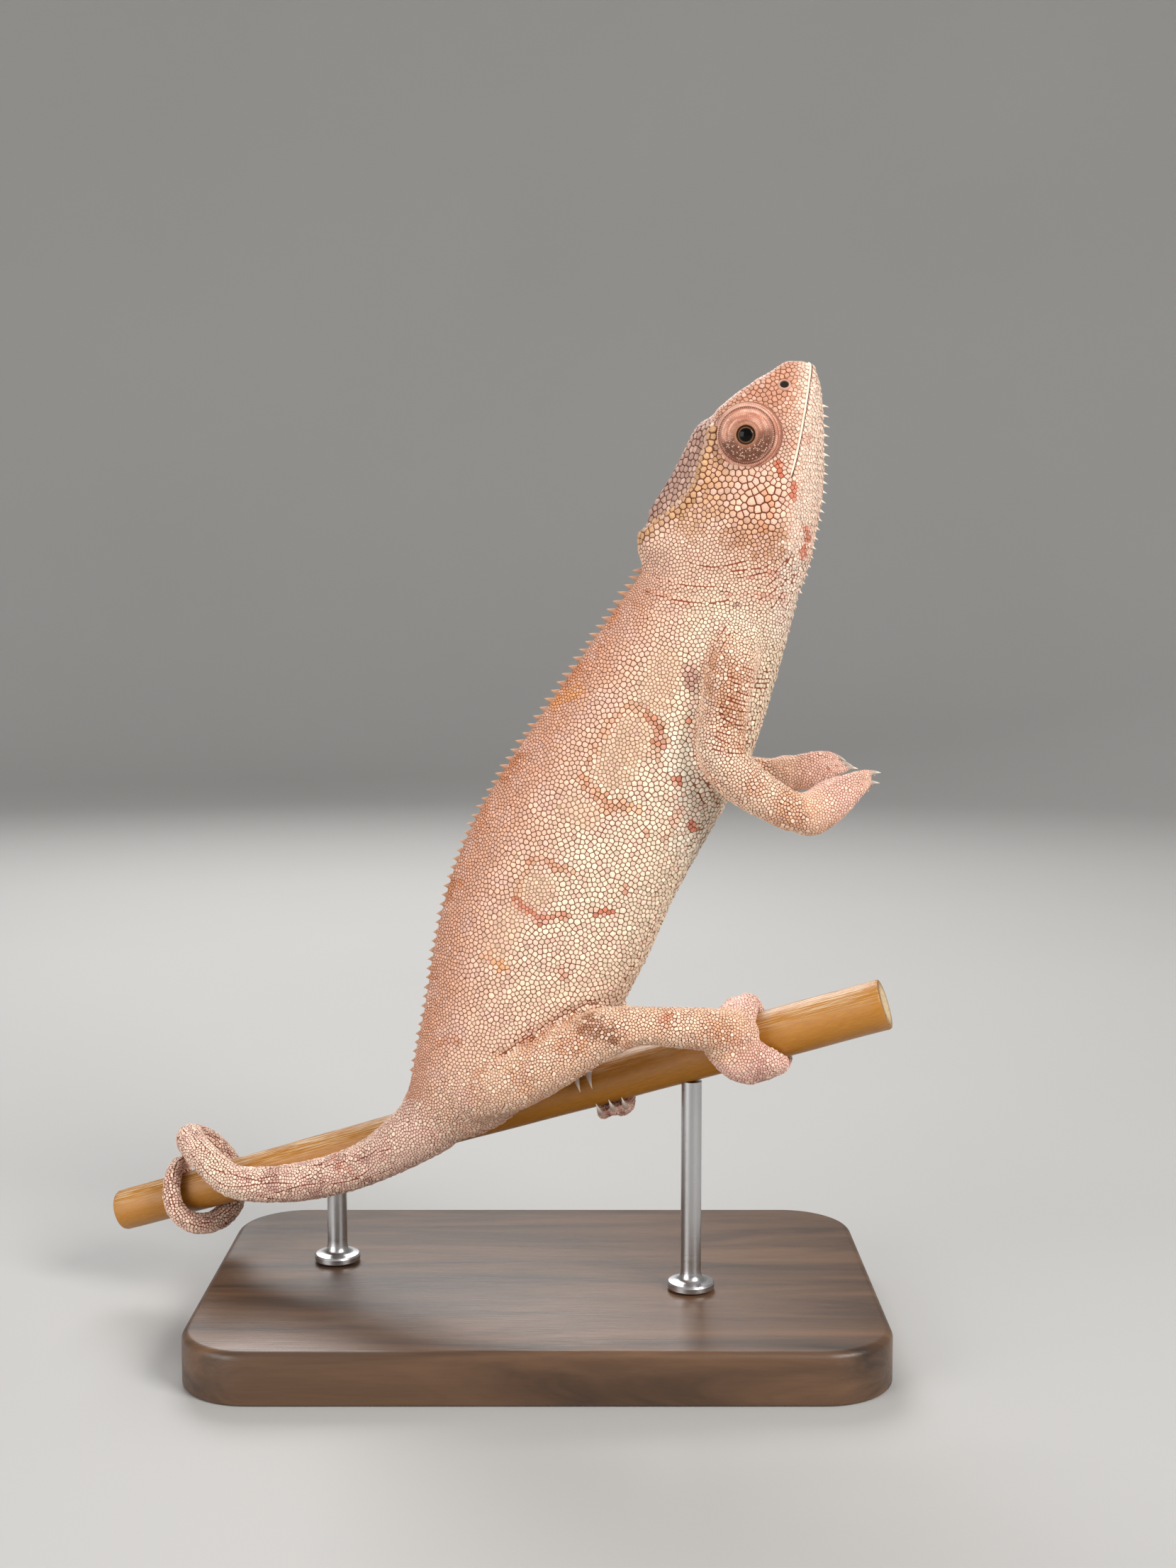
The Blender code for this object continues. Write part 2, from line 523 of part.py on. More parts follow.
def make_eyes(lids, surface):
    for name, side in (("right", -1), ("left", 1)):
        at, looks = eye_place(side)
        middle = at + looks * BALL_HEIGHT
        turret = turned(f"{name}_eye_turret", TURRET, at, looks)
        combine(turret, [ball("pocket", POCKET_RADIUS, middle, looks)], "DIFFERENCE")
        done(keep_largest(turret), lids)
        done(ball(f"{name}_eyeball", BALL_RADIUS, middle, looks), surface)


def eye_sockets():
    found = []
    for side in (-1, 1):
        at, looks = eye_place(side)
        profile = [(r + GAP, h) for r, h in TURRET if h <= 0] + [(TURRET[2][0] + GAP, 6.0)]
        profile[0] = (profile[0][0], profile[0][1] - GAP)
        found.append(turned("socket", profile, at, looks))
    return found


def head_surface(head):
    """The head's surface, to cast rays at, in the tables' millimetres."""
    points = [Vector((v.co.x / MM, v.co.y / MM, v.co.z / MM - LIFT)) for v in head.data.vertices]
    return BVHTree.FromPolygons(points, [tuple(face.vertices) for face in head.data.polygons])


def on_cheek(surface, x, z):
    """The point of the right cheek at this place of the side view, and the way it faces."""
    return surface.ray_cast(Vector((x, HEAD_PLANE - 20.0, z)), Vector((0, 1, 0)))[:2]


def mouth_tube(name, surface, to_chin, radius):
    """A tube half sunk in the head, from corner to corner of the mouth round the snout."""
    line = [Vector((x, 0, z)) for x, z in smooth_rows(MOUTH, 2)]
    right = []
    for k, at in enumerate(line):
        along = (line[min(k + 1, len(line) - 1)] - line[max(k - 1, 0)]).normalized()
        at = at + Vector((-along.z, 0, along.x)) * to_chin
        place = on_cheek(surface, at.x, at.z)[0] if k else Vector((at.x, HEAD_PLANE, at.z))
        if place:
            right.append((*place, radius))
    left = [(x, 2 * HEAD_PLANE - y, z, r) for x, y, z, r in right[:0:-1]]
    return tube(name, left + right, sides=6, steps=1)


def spine(root, out, along, height, width):
    """A small cone of five sides, its root sunk in and its tip leaning back."""
    across = out.cross(along)
    base = root - out * SPINE_SINK
    ring = [base + width * (along * math.cos(a) + across * math.sin(a))
            for a in (2 * math.pi * j / 5 for j in range(5))]
    return loft("spine", [ring], end_cap=root + out * height - along * height * SPINE_LEAN)


def edge_point(row, edge):
    return Vector((row[edge], row[4], row[edge + 1]))


def crest_spines(rows, crest, first, last):
    """The spines of a crest that stand between two stations."""
    edge, low, high = crest["edge"], *crest["heights"]
    spines, station = [], crest["from"]
    while station < crest["to"]:
        k = int(station * STEPS_ALONG)
        here, ahead = edge_point(rows[k], edge), edge_point(rows[k + 1], edge)
        along = (ahead - here).normalized()
        out = here - edge_point(rows[k], 2 - edge)
        out = (out - along * out.dot(along)).normalized()
        if first + SPINE_CLEAR < station < last - SPINE_CLEAR:
            share = (station - crest["from"]) / (crest["to"] - crest["from"])
            root = here.lerp(ahead, station * STEPS_ALONG - k)
            spines.append(spine(root, out, along, low + (high - low) * share, crest["width"]))
        station += crest["pitch"] / ((ahead - here).length * STEPS_ALONG)
    return spines


def make_head(rows, skin):
    """The head with its throat spines, lips, line of the mouth, nostrils and eye sockets."""
    head = body_part("head", rows, HEAD_FROM, HEAD_TO, SNOUT_CAP)
    surface = head_surface(head)
    lips = [mouth_tube("lip", surface, side * LIP_FROM_LINE, LIP_RADIUS) for side in (-1, 1)]
    combine(head, lips + crest_spines(rows, THROAT_CREST, HEAD_FROM, HEAD_TO), "UNION")
    cuts = [mouth_tube("groove", surface, 0.0, MOUTH_GROOVE)]
    place, faces = on_cheek(surface, *NOSTRIL_AT)
    for side in (1, -1):
        place, faces = ((Vector((p.x, side_plane + side * (p.y - side_plane), p.z)))
                        for p, side_plane in ((place, HEAD_PLANE), (faces, 0.0)))
        cuts.append(ball("nostril", NOSTRIL_RADIUS, place, faces, sides=8))
    combine(head, cuts + eye_sockets(), "DIFFERENCE")
    return done(keep_largest(head), skin)


def make_stand(wood, steel):
    half_x, half_y = BASE_LENGTH / 2 - BASE_CORNER, BASE_DEPTH / 2 - BASE_CORNER
    rings = []
    for height, inset in ((0.0, 0.0), (BASE_HEIGHT - BASE_EDGE, 0.0), (BASE_HEIGHT, BASE_EDGE)):
        ring = []
        for quarter, (sx, sy) in enumerate(((1, 1), (-1, 1), (-1, -1), (1, -1))):
            for k in range(7):
                a = math.radians(90 * quarter + 15 * k)
                reach = BASE_CORNER - inset
                ring.append(Vector((sx * half_x + reach * math.cos(a), sy * half_y + reach * math.sin(a),
                                    height - LIFT)))
        rings.append(ring)
    done(loft("stand_base", rings), wood)
    for number, station in enumerate(ROD_PLACES, 1):
        at = CANE_POINT + CANE_AXIS * station
        floor = BASE_HEIGHT - LIFT + GAP
        rings = []
        for height, radius in ((floor, ROD_FOOT_RADIUS), (floor + ROD_FOOT_HEIGHT, ROD_FOOT_RADIUS),
                               (floor + ROD_FOOT_HEIGHT, ROD_RADIUS), (at.z, ROD_RADIUS)):
            rings.append([Vector((at.x + radius * math.cos(a), at.y + radius * math.sin(a), height))
                          for a in (2 * math.pi * j / 20 for j in range(20))])
        rod = loft(f"stand_rod_{number}", rings)
        combine(rod, [cane_solid("grown_cane", GAP)], "DIFFERENCE")
        done(keep_largest(rod), steel)


def make_part():
    clear_scene()
    skin = finish("skin", (0.72, 0.45, 0.33), 0.6)
    eye = finish("eye", (0.02, 0.015, 0.012), 0.1)
    cane = finish("cane", (0.62, 0.33, 0.07), 0.35)
    wood = finish("walnut", (0.13, 0.07, 0.04), 0.45)
    steel = finish("steel", (0.6, 0.6, 0.6), 0.3, 1.0)
    rows = body_rows()

    def whole_body():
        return body_part("grown_body", rows, 0, HEAD_TO, SNOUT_CAP, GAP)

    def body_and_cane():
        return [whole_body(), cane_solid("grown_cane", GAP)]

    for name, start, end in (("torso", 0.0, NECK_FROM), ("neck", NECK_FROM, HEAD_FROM)):
        piece = body_part(name, rows, start, end)
        spines = [s for crest in (BACK_CREST, THROAT_CREST) for s in crest_spines(rows, crest, start, end)]
        done(keep_largest(combine(piece, spines, "UNION")), skin)
    make_head(rows, skin)
    make_tail(body_and_cane, skin)
    make_limb("right_upper_arm", "right_forearm", RIGHT_ARM, ARM_BENDS_AT, body_and_cane, skin)
    make_limb("left_upper_arm", "left_forearm", LEFT_ARM, ARM_BENDS_AT, body_and_cane, skin)
    make_limb("right_thigh", "right_shin", RIGHT_LEG, LEG_BENDS_AT, body_and_cane, skin)
    make_limb("left_thigh", "left_shin", LEFT_LEG, LEG_BENDS_AT, body_and_cane, skin)
    for name, palm, webs, toes, limb in (
            ("right_hand", RIGHT_PALM, RIGHT_WEB, RIGHT_FINGERS, RIGHT_ARM),
            ("left_hand", LEFT_PALM, LEFT_WEB, LEFT_FINGERS, LEFT_ARM),
            ("right_foot", RIGHT_SOLE, on_cane(RIGHT_PADS), on_cane(RIGHT_TOES), RIGHT_LEG),
            ("left_foot", LEFT_SOLE, on_cane(LEFT_PADS), on_cane(LEFT_TOES), LEFT_LEG)):
        make_foot(name, palm, webs, toes, lambda: [*body_and_cane(), grown_limb(limb)], skin)
    make_eyes(skin, eye)
    done(cane_solid("perch_cane"), cane)
    make_stand(wood, steel)


make_part()
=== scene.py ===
"""The looks of the panther chameleon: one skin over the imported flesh, a coat of solid scales,
eyes, lids, lips, nostrils, crests and claws, and the cane and stand that carry it.

Lengths in the tables are in millimetres of the row frame, except that heights count from LIFT
above the underside of the base. Places that were read from the photograph are its pixels.
"""
import math
import random

import bmesh
import bpy
import numpy as np
from mathutils import Matrix, Vector, noise
from mathutils.bvhtree import BVHTree
from mathutils.kdtree import KDTree


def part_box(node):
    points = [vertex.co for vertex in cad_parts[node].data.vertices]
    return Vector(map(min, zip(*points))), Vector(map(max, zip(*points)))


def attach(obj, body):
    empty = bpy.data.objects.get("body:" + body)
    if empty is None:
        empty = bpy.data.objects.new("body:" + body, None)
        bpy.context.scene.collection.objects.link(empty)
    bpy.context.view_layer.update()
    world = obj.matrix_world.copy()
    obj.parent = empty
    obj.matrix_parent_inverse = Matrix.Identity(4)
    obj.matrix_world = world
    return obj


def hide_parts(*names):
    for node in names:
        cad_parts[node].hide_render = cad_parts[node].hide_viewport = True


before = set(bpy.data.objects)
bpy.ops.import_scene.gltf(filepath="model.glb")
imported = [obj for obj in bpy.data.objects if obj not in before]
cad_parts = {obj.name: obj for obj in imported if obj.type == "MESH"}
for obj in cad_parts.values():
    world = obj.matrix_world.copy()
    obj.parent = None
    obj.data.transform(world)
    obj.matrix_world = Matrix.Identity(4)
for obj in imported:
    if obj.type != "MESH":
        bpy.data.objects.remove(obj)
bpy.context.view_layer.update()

MM = 0.001
LIFT = 5.0
UP = Vector((0, 0, 1))
TURN = 2 * math.pi

# The photograph's camera, the ways back to it and up its picture, and pixels for a slope of one.
PHOTO_SIZE = (1659, 2212)
LENS, SENSOR = 45.0, 36.0
AIM, DISTANCE, ELEVATION = Vector((9.4, -11.0, 109.5)), 374.0, math.radians(5.0)
BACK = (0, -math.cos(ELEVATION), math.sin(ELEVATION))
ABOVE = (0, math.sin(ELEVATION), math.cos(ELEVATION))
FOCAL = PHOTO_SIZE[1] * LENS / SENSOR

# The flesh that the skin stands for, and how it is made from it.
FLESH = ("torso", "neck", "head", "tail_base", "tail_middle", "tail_loop", "tail_turn", "tail_tip",
         "right_upper_arm", "right_forearm", "right_hand", "left_upper_arm", "left_forearm", "left_hand",
         "right_thigh", "right_shin", "right_foot", "left_thigh", "left_shin", "left_foot")
FILLED = ("right_eye_turret", "left_eye_turret")
SPINY = ("torso", "neck", "head")
SPINE_TIP, SPINE_EDGE = 0.6, 3.2  # how far the faces at a spine's tip turn, and how long they are at most
SWELL, COAT_DEPTH, VOXEL = 0.4, 0.3, 0.6
# Rounds of smoothing: easing and growing back, then easing where limbs join and after the folds.
SMOOTH_ROUNDS, EASE, GROW = 8, 0.5, 0.52
JOIN_ROUNDS, FOLD_ROUNDS, FOLD_EASE = 40, 2, 0.3

# The slices of the body from the root of the tail to the snout: upper and lower end (x, z).
SLICES = (
    (-27.6, 41.5, -15.3, 34.7), (-25.4, 46.2, -6.7, 38.6), (-23.7, 54.5, 5.0, 49.6),
    (-21.9, 63.5, 14.7, 59.8), (-20.1, 74.6, 21.1, 71.1), (-17.2, 86.2, 25.8, 81.8),
    (-13.0, 96.5, 30.5, 90.7), (-7.4, 106.4, 34.9, 98.5), (-0.7, 116.4, 39.2, 106.0),
    (6.1, 126.1, 42.1, 113.4), (11.6, 134.0, 44.8, 122.2), (16.0, 140.2, 47.3, 131.6),
    (19.3, 145.4, 49.8, 141.0), (18.0, 150.2, 51.6, 146.8), (19.2, 153.8, 52.6, 151.7),
    (21.4, 157.8, 53.5, 156.2), (24.2, 162.0, 54.0, 160.6), (26.6, 166.4, 54.1, 165.0),
    (29.2, 171.4, 54.0, 169.4), (33.2, 174.7, 53.9, 173.2), (37.8, 178.6, 53.6, 176.8),
    (41.8, 181.1, 53.2, 179.3), (45.0, 183.1, 52.5, 181.4), (46.9, 184.1, 51.6, 182.8))
MIDDLE_PLANE = -11.0
HEAD_STATION = 12.0

# The cane, and what lies on it: station along it, degrees round it, radius, distance off it.
CANE_POINT = Vector((-10.3, 0.0, 38.1))
CANE_AXIS = Vector((0.926, -0.218, 0.308)).normalized()
CANE_START, CANE_END, CANE_RADIUS, CANE_TAPER = -84.0, 82.0, 4.5, 0.0045
CANE_FRONT = (Vector((0, -1, 0)) + CANE_AXIS * CANE_AXIS.y).normalized()
CANE_TOP = CANE_FRONT.cross(CANE_AXIS).normalized()
CANE_GAP = 0.3
TAIL_ROOT = ((-15.6, -11.2, 43.4, 6.2), (-20.9, -9.0, 38.5, 6.6))
TAIL = (
    (-21.5, -5, 4.75, 0.2), (-32.8, -14, 4.25, 0.0), (-44.0, -8, 3.95, 0.0), (-53.6, 12, 3.6, 0.3),
    (-58.6, 48, 3.35, 1.3), (-62.2, 74, 3.2, 2.9), (-64.0, 94, 3.1, 3.3), (-63.4, 124, 2.95, 2.2),
    (-61.8, 158, 2.85, 0.8), (-61.4, 196, 2.75, 0.1), (-62.2, 236, 2.65, 0.0), (-64.4, 276, 2.5, 0.1),
    (-67.1, 314, 2.35, 0.3), (-68.8, 352, 2.15, 0.1), (-68.5, 394, 2.0, 0.0), (-68.2, 436, 1.85, 0.0),
    (-69.2, 480, 1.65, 0.0), (-70.8, 524, 1.5, 0.0), (-72.2, 566, 1.3, 0.0), (-72.8, 604, 1.1, 0.0),
    (-73.2, 636, 0.8, 0.1))

# The middle lines (x, y, z, radius) of the limbs.
LIMBS = {
    "right_arm": ((37.6, -15.0, 134.0, 5.0), (36.0, -20.5, 126.5, 5.0), (34.4, -22.6, 118.0, 4.7),
                  (34.2, -23.4, 110.4, 4.7), (38.4, -23.2, 105.6, 4.6), (43.6, -22.4, 102.2, 4.1),
                  (48.2, -21.4, 99.6, 4.0)),
    "right_hand": ((48.2, -21.4, 99.6, 4.0), (53.0, -19.6, 101.4, 4.6), (60.6, -18.6, 105.2, 4.0)),
    "left_arm": ((37.6, -7.0, 134.0, 5.0), (36.0, -1.5, 127.0, 5.0), (33.4, 1.4, 119.0, 4.7),
                 (31.4, 2.6, 111.0, 4.7), (35.6, 1.6, 106.6, 4.5), (40.6, -0.6, 105.4, 4.0),
                 (45.4, -2.6, 105.2, 3.8)),
    "left_hand": ((45.4, -2.6, 105.2, 3.8), (51.0, -2.0, 106.0, 4.2), (58.4, -1.8, 107.0, 4.0)),
    "right_leg": ((-13.0, -14.5, 45.6, 6.4), (-6.0, -18.5, 48.4, 6.2), (1.5, -21.0, 52.4, 5.7),
                  (8.0, -22.8, 56.4, 5.2), (13.4, -24.0, 59.4, 4.9), (19.5, -24.2, 60.5, 3.8),
                  (26.6, -22.8, 59.8, 4.1), (34.4, -20.6, 59.0, 4.3)),
    "right_foot": ((35.6, -20.2, 58.8, 4.3), (38.2, -18.9, 57.6, 5.0), (40.0, -13.0, 55.0, 9.0)),
    "left_leg": ((-12.0, -8.5, 48.5, 6.4), (-7.0, -2.4, 52.6, 6.3), (-2.2, 4.2, 56.6, 5.8),
                 (2.0, 10.2, 59.8, 5.0), (6.4, 13.8, 61.2, 4.3), (11.0, 14.2, 59.8, 3.9),
                 (14.0, 11.8, 56.6, 3.7), (14.4, 8.2, 53.0, 3.8), (13.0, 5.0, 50.0, 4.0)),
    "left_foot": ((12.8, 4.2, 49.2, 4.2), (12.8, 2.2, 46.4, 4.6), (12.2, -4.8, 45.2, 8.6)),
}
REGIONS = ("trunk", "head", "tail", *LIMBS)
SIDE_GUIDE = (0.0, 0.6, 0.8)  # sets where a turn round a limb is counted from

# Where limbs meet the body or bend, so that the skin runs on smoothly: (x, y, z, reach).
JOINS = ((37.0, -17.5, 131.0, 9.0), (37.0, -4.5, 131.0, 9.0), (-8.0, -17.0, 47.5, 9.5),
         (-8.0, -4.5, 51.5, 9.5), (-19.5, -10.0, 41.0, 9.0), (34.3, -23.4, 110.0, 6.0),
         (31.6, 2.6, 111.0, 6.0), (48.4, -21.2, 99.8, 5.5), (45.6, -2.6, 105.2, 5.5),
         (35.0, -20.4, 58.8, 6.5), (13.0, 5.0, 50.0, 6.0), (13.4, -24.0, 59.4, 6.0),
         (7.0, 14.0, 61.0, 6.0), (19.5, -11.0, 152.5, 4.5))

# Toes that end in a claw: on the cane as (station, degrees, radius) pairs, in the air as points.
CANE_CLAWS = (
    ((54.3, 138, 1.8), (54.5, 168, 1.2)), ((57.0, 138, 1.8), (57.2, 168, 1.2)),
    ((54.6, -132, 1.35), (54.8, -160, 1.1)), ((57.6, -130, 1.35), (57.8, -160, 1.1)),
    ((60.4, -124, 1.3), (60.6, -156, 1.1)),
    ((21.0, 58, 1.4), (21.0, 34, 1.05)), ((23.7, 58, 1.4), (23.6, 34, 1.05)),
    ((22.4, 270, 1.5), (22.6, 292, 1.0)), ((25.2, 272, 1.5), (25.4, 296, 1.0)),
    ((27.5, 270, 1.5), (27.8, 292, 1.0)))
FREE_CLAWS = (
    ((58.2, -22.4, 106.0), (61.2, -21.8, 107.3, 1.25)), ((58.0, -22.4, 104.4), (61.0, -21.8, 105.5, 1.25)),
    ((59.0, -16.0, 105.8), (59.6, -15.0, 105.6, 1.2)), ((59.8, -15.8, 104.2), (60.4, -14.8, 104.0, 1.2)),
    ((59.0, -16.0, 102.6), (59.6, -15.0, 102.4, 1.2)),
    ((55.2, -5.2, 109.2), (57.2, -4.8, 109.2, 1.1)), ((56.2, -5.4, 107.7), (58.6, -5.0, 107.9, 1.1)),
    ((56.6, -5.4, 106.4), (59.4, -5.0, 107.1, 1.1)), ((55.6, 1.8, 107.4), (57.8, 1.8, 107.0, 1.2)),
    ((55.8, 1.8, 105.2), (58.0, 1.8, 105.0, 1.2)))
SOLID_CLAW = (2.3, 0.75)  # how far a claw of the solids stands out of its toe, and its radius
CLAW_LENGTH, FREE_LENGTH, CLAW_WIDTH, CLAW_SINK, SPINE_SINK = 1.9, 1.3, 0.66, 1.0, 0.9

# The eye: its place, the way it looks, and the turret of lids as (radius, height).
EYE_BASE, EYE_OUT = (39.0, 169.5), 6.9
EYE_LOOKS = (-0.2, -1.0, -0.03)
TURRET = ((5.4, -3.0), (6.15, -1.6), (6.3, 0.0), (6.05, 1.3), (5.45, 2.5), (4.5, 3.45), (3.45, 4.0),
          (2.6, 4.2), (2.1, 4.35), (1.8, 4.35), (1.6, 4.1), (1.5, 3.6))
BALL_RADIUS, BALL_HEIGHT = 2.6, 1.9
LID_GROOVES = ((0.34, 5.35, 0.16), (0.10, 6.9, 0.14))  # depth, how far up the side, and width
LINE_REACH, GRANULE = 5.08, 0.36  # how far out the dark line of the lids runs, and a granule's width
PUPIL, IRIS = 1.25, 1.45

# The line of the mouth in the side view, the nostril, and the crests.
MOUTH = ((50.8, 183.4), (50.6, 181.8), (50.1, 178.5), (49.1, 172.8), (47.8, 166.3), (46.6, 161.8))
NOSTRIL = (45.7, 179.0)
NOSTRIL_RIM = ((1.3, -0.3), (1.3, 0.06), (1.18, 0.26), (1.0, 0.34), (0.84, 0.28), (0.74, 0.12),
               (0.4, 0.09), (0.05, 0.09))
CASQUE_RIDGE = ((1006, 616), (995, 650), (986, 686), (959, 719), (929, 741), (906, 757))
BEAD = 1.12  # how far apart the casque's beads stand
BACK_CREST = {"edge": 0, "from": 1.4, "to": 12.2, "pitch": 1.85, "heights": (0.35, 1.3), "width": 0.95}
THROAT_CREST = {"edge": 2, "from": 12.0, "to": 19.9, "pitch": 1.75, "heights": (0.25, 0.85), "width": 0.46}

# The foot of a rod as (radius, height).
ROD_FOOT = ((0.02, 0.0), (4.3, 0.0), (4.6, 0.25), (4.6, 1.1), (4.35, 1.45), (3.4, 1.6), (2.7, 1.75),
            (2.25, 2.2), (2.02, 3.2), (2.0, 4.4))

# Colours.
CREAM, PEACH, SALMON = (0.94, 0.78, 0.59), (0.88, 0.58, 0.42), (0.78, 0.43, 0.29)
ORANGE, RUST, AMBER = (0.68, 0.27, 0.12), (0.56, 0.17, 0.09), (0.82, 0.37, 0.14)
MAUVE, BLUSH, OVAL = (0.44, 0.20, 0.16), (0.84, 0.55, 0.45), (0.77, 0.54, 0.38)
HEAD_BASE, SNOUT, CHIN = (0.88, 0.60, 0.45), (0.64, 0.325, 0.212), (0.97, 0.80, 0.66)
PLATE, CASQUE, CREST = (0.82, 0.49, 0.34), (0.50, 0.30, 0.24), (0.68, 0.39, 0.20)
RED, PALE, TAN = (0.64, 0.15, 0.07), (0.98, 0.78, 0.61), (0.62, 0.32, 0.18)
# UMBER is painted shade: the dark line of the closed mouth.
UMBER, LIP = (0.14, 0.05, 0.03), (0.95, 0.80, 0.64)
# WINE darkens the skin along creases and in the clefts between toes: partly its own dark red, partly
# painted shade.
WINE, RIM, BISTRE = (0.36, 0.12, 0.08), (0.60, 0.33, 0.24), (0.40, 0.18, 0.09)
CLAW, CLAW_TIP, SPINE = (0.46, 0.36, 0.30), (0.82, 0.76, 0.67), (0.95, 0.82, 0.68)
STREAK, OPEN_SKIN = (0.46, 0.25, 0.20), (0.85, 0.78, 0.74)
BACK_TONES = ((0.42, 0.22, 0.14), (0.64, 0.36, 0.22), 0.35, 1.0)
# PIT is painted shade: the near-black hollow of each nostril.
PIT, PITH, CUT_RIND = (0.02, 0.012, 0.01), (0.66, 0.50, 0.30), (0.30, 0.16, 0.06)
# The eye, and the lids from their rings of wrinkles to the edge of the opening. The lower lids' brown is
# partly their own colour and partly painted shade; LID_SHADE and GRANULE_GROOVE darken the skin between
# the granules, partly as painted shade.
BALL_TONE, IRIS_TONE, PUPIL_TONE = (0.06, 0.03, 0.02), (0.20, 0.10, 0.05), (0.004, 0.003, 0.003)
LID, LID_DARK, LID_PALE = (0.78, 0.44, 0.33), (0.52, 0.21, 0.14), (0.88, 0.60, 0.47)
LID_BROWN, LID_LINE, LID_EDGE = (0.20, 0.085, 0.055), (0.13, 0.05, 0.03), (0.30, 0.13, 0.09)
LID_RING, LID_RIM, LID_INSIDE = (0.30, 0.14, 0.09), (0.50, 0.27, 0.17), (0.04, 0.02, 0.015)
LID_GRAIN, LID_SHADE, GRANULE_GROOVE = (0.76, 0.50, 0.37), (0.8, 0.66, 0.6), (0.62, 0.48, 0.42)
# The skin between the scales, against the scales' own colour: partly its own darker, redder tone and
# partly painted shade in the grooves.
GROOVE, LIMB_GROOVE, FINE_GROOVE = (0.27, 0.12, 0.08), (0.25, 0.12, 0.085), (0.44, 0.25, 0.21)
OVAL_GROOVE, HAND_GROOVE = (0.48, 0.32, 0.25), (0.56, 0.36, 0.30)

# Grooves along lines of the side view: tone, pixels where it is full and where it ends, the
# lowest station, and the line.
LINE_GROOVES = (
    ((0.52, 0.33, 0.26), 40, 80, HEAD_STATION, ((1130, 520), (1100, 545), (1040, 570))),
    ((0.32, 0.25, 0.26), 20, 32, HEAD_STATION, ((990, 612), (970, 655), (943, 692), (906, 738))),
    ((0.62, 0.46, 0.42), 20, 40, -1, ((1150, 516), (1152, 600), (1142, 700), (1135, 760))))
# The limbs' two tones, and how far the second one takes over in patches.
LIMB_TONES = {
    "tail": ((0.96, 0.67, 0.55), (0.80, 0.50, 0.41), 0.7),
    "arm": ((0.95, 0.67, 0.49), (0.78, 0.43, 0.26), 0.9), "hand": ((0.86, 0.57, 0.47), PEACH, 0.4),
    "leg": ((0.95, 0.64, 0.45), (0.76, 0.40, 0.24), 0.9),
    "foot": ((0.95, 0.64, 0.55), (0.78, 0.46, 0.39), 0.7)}
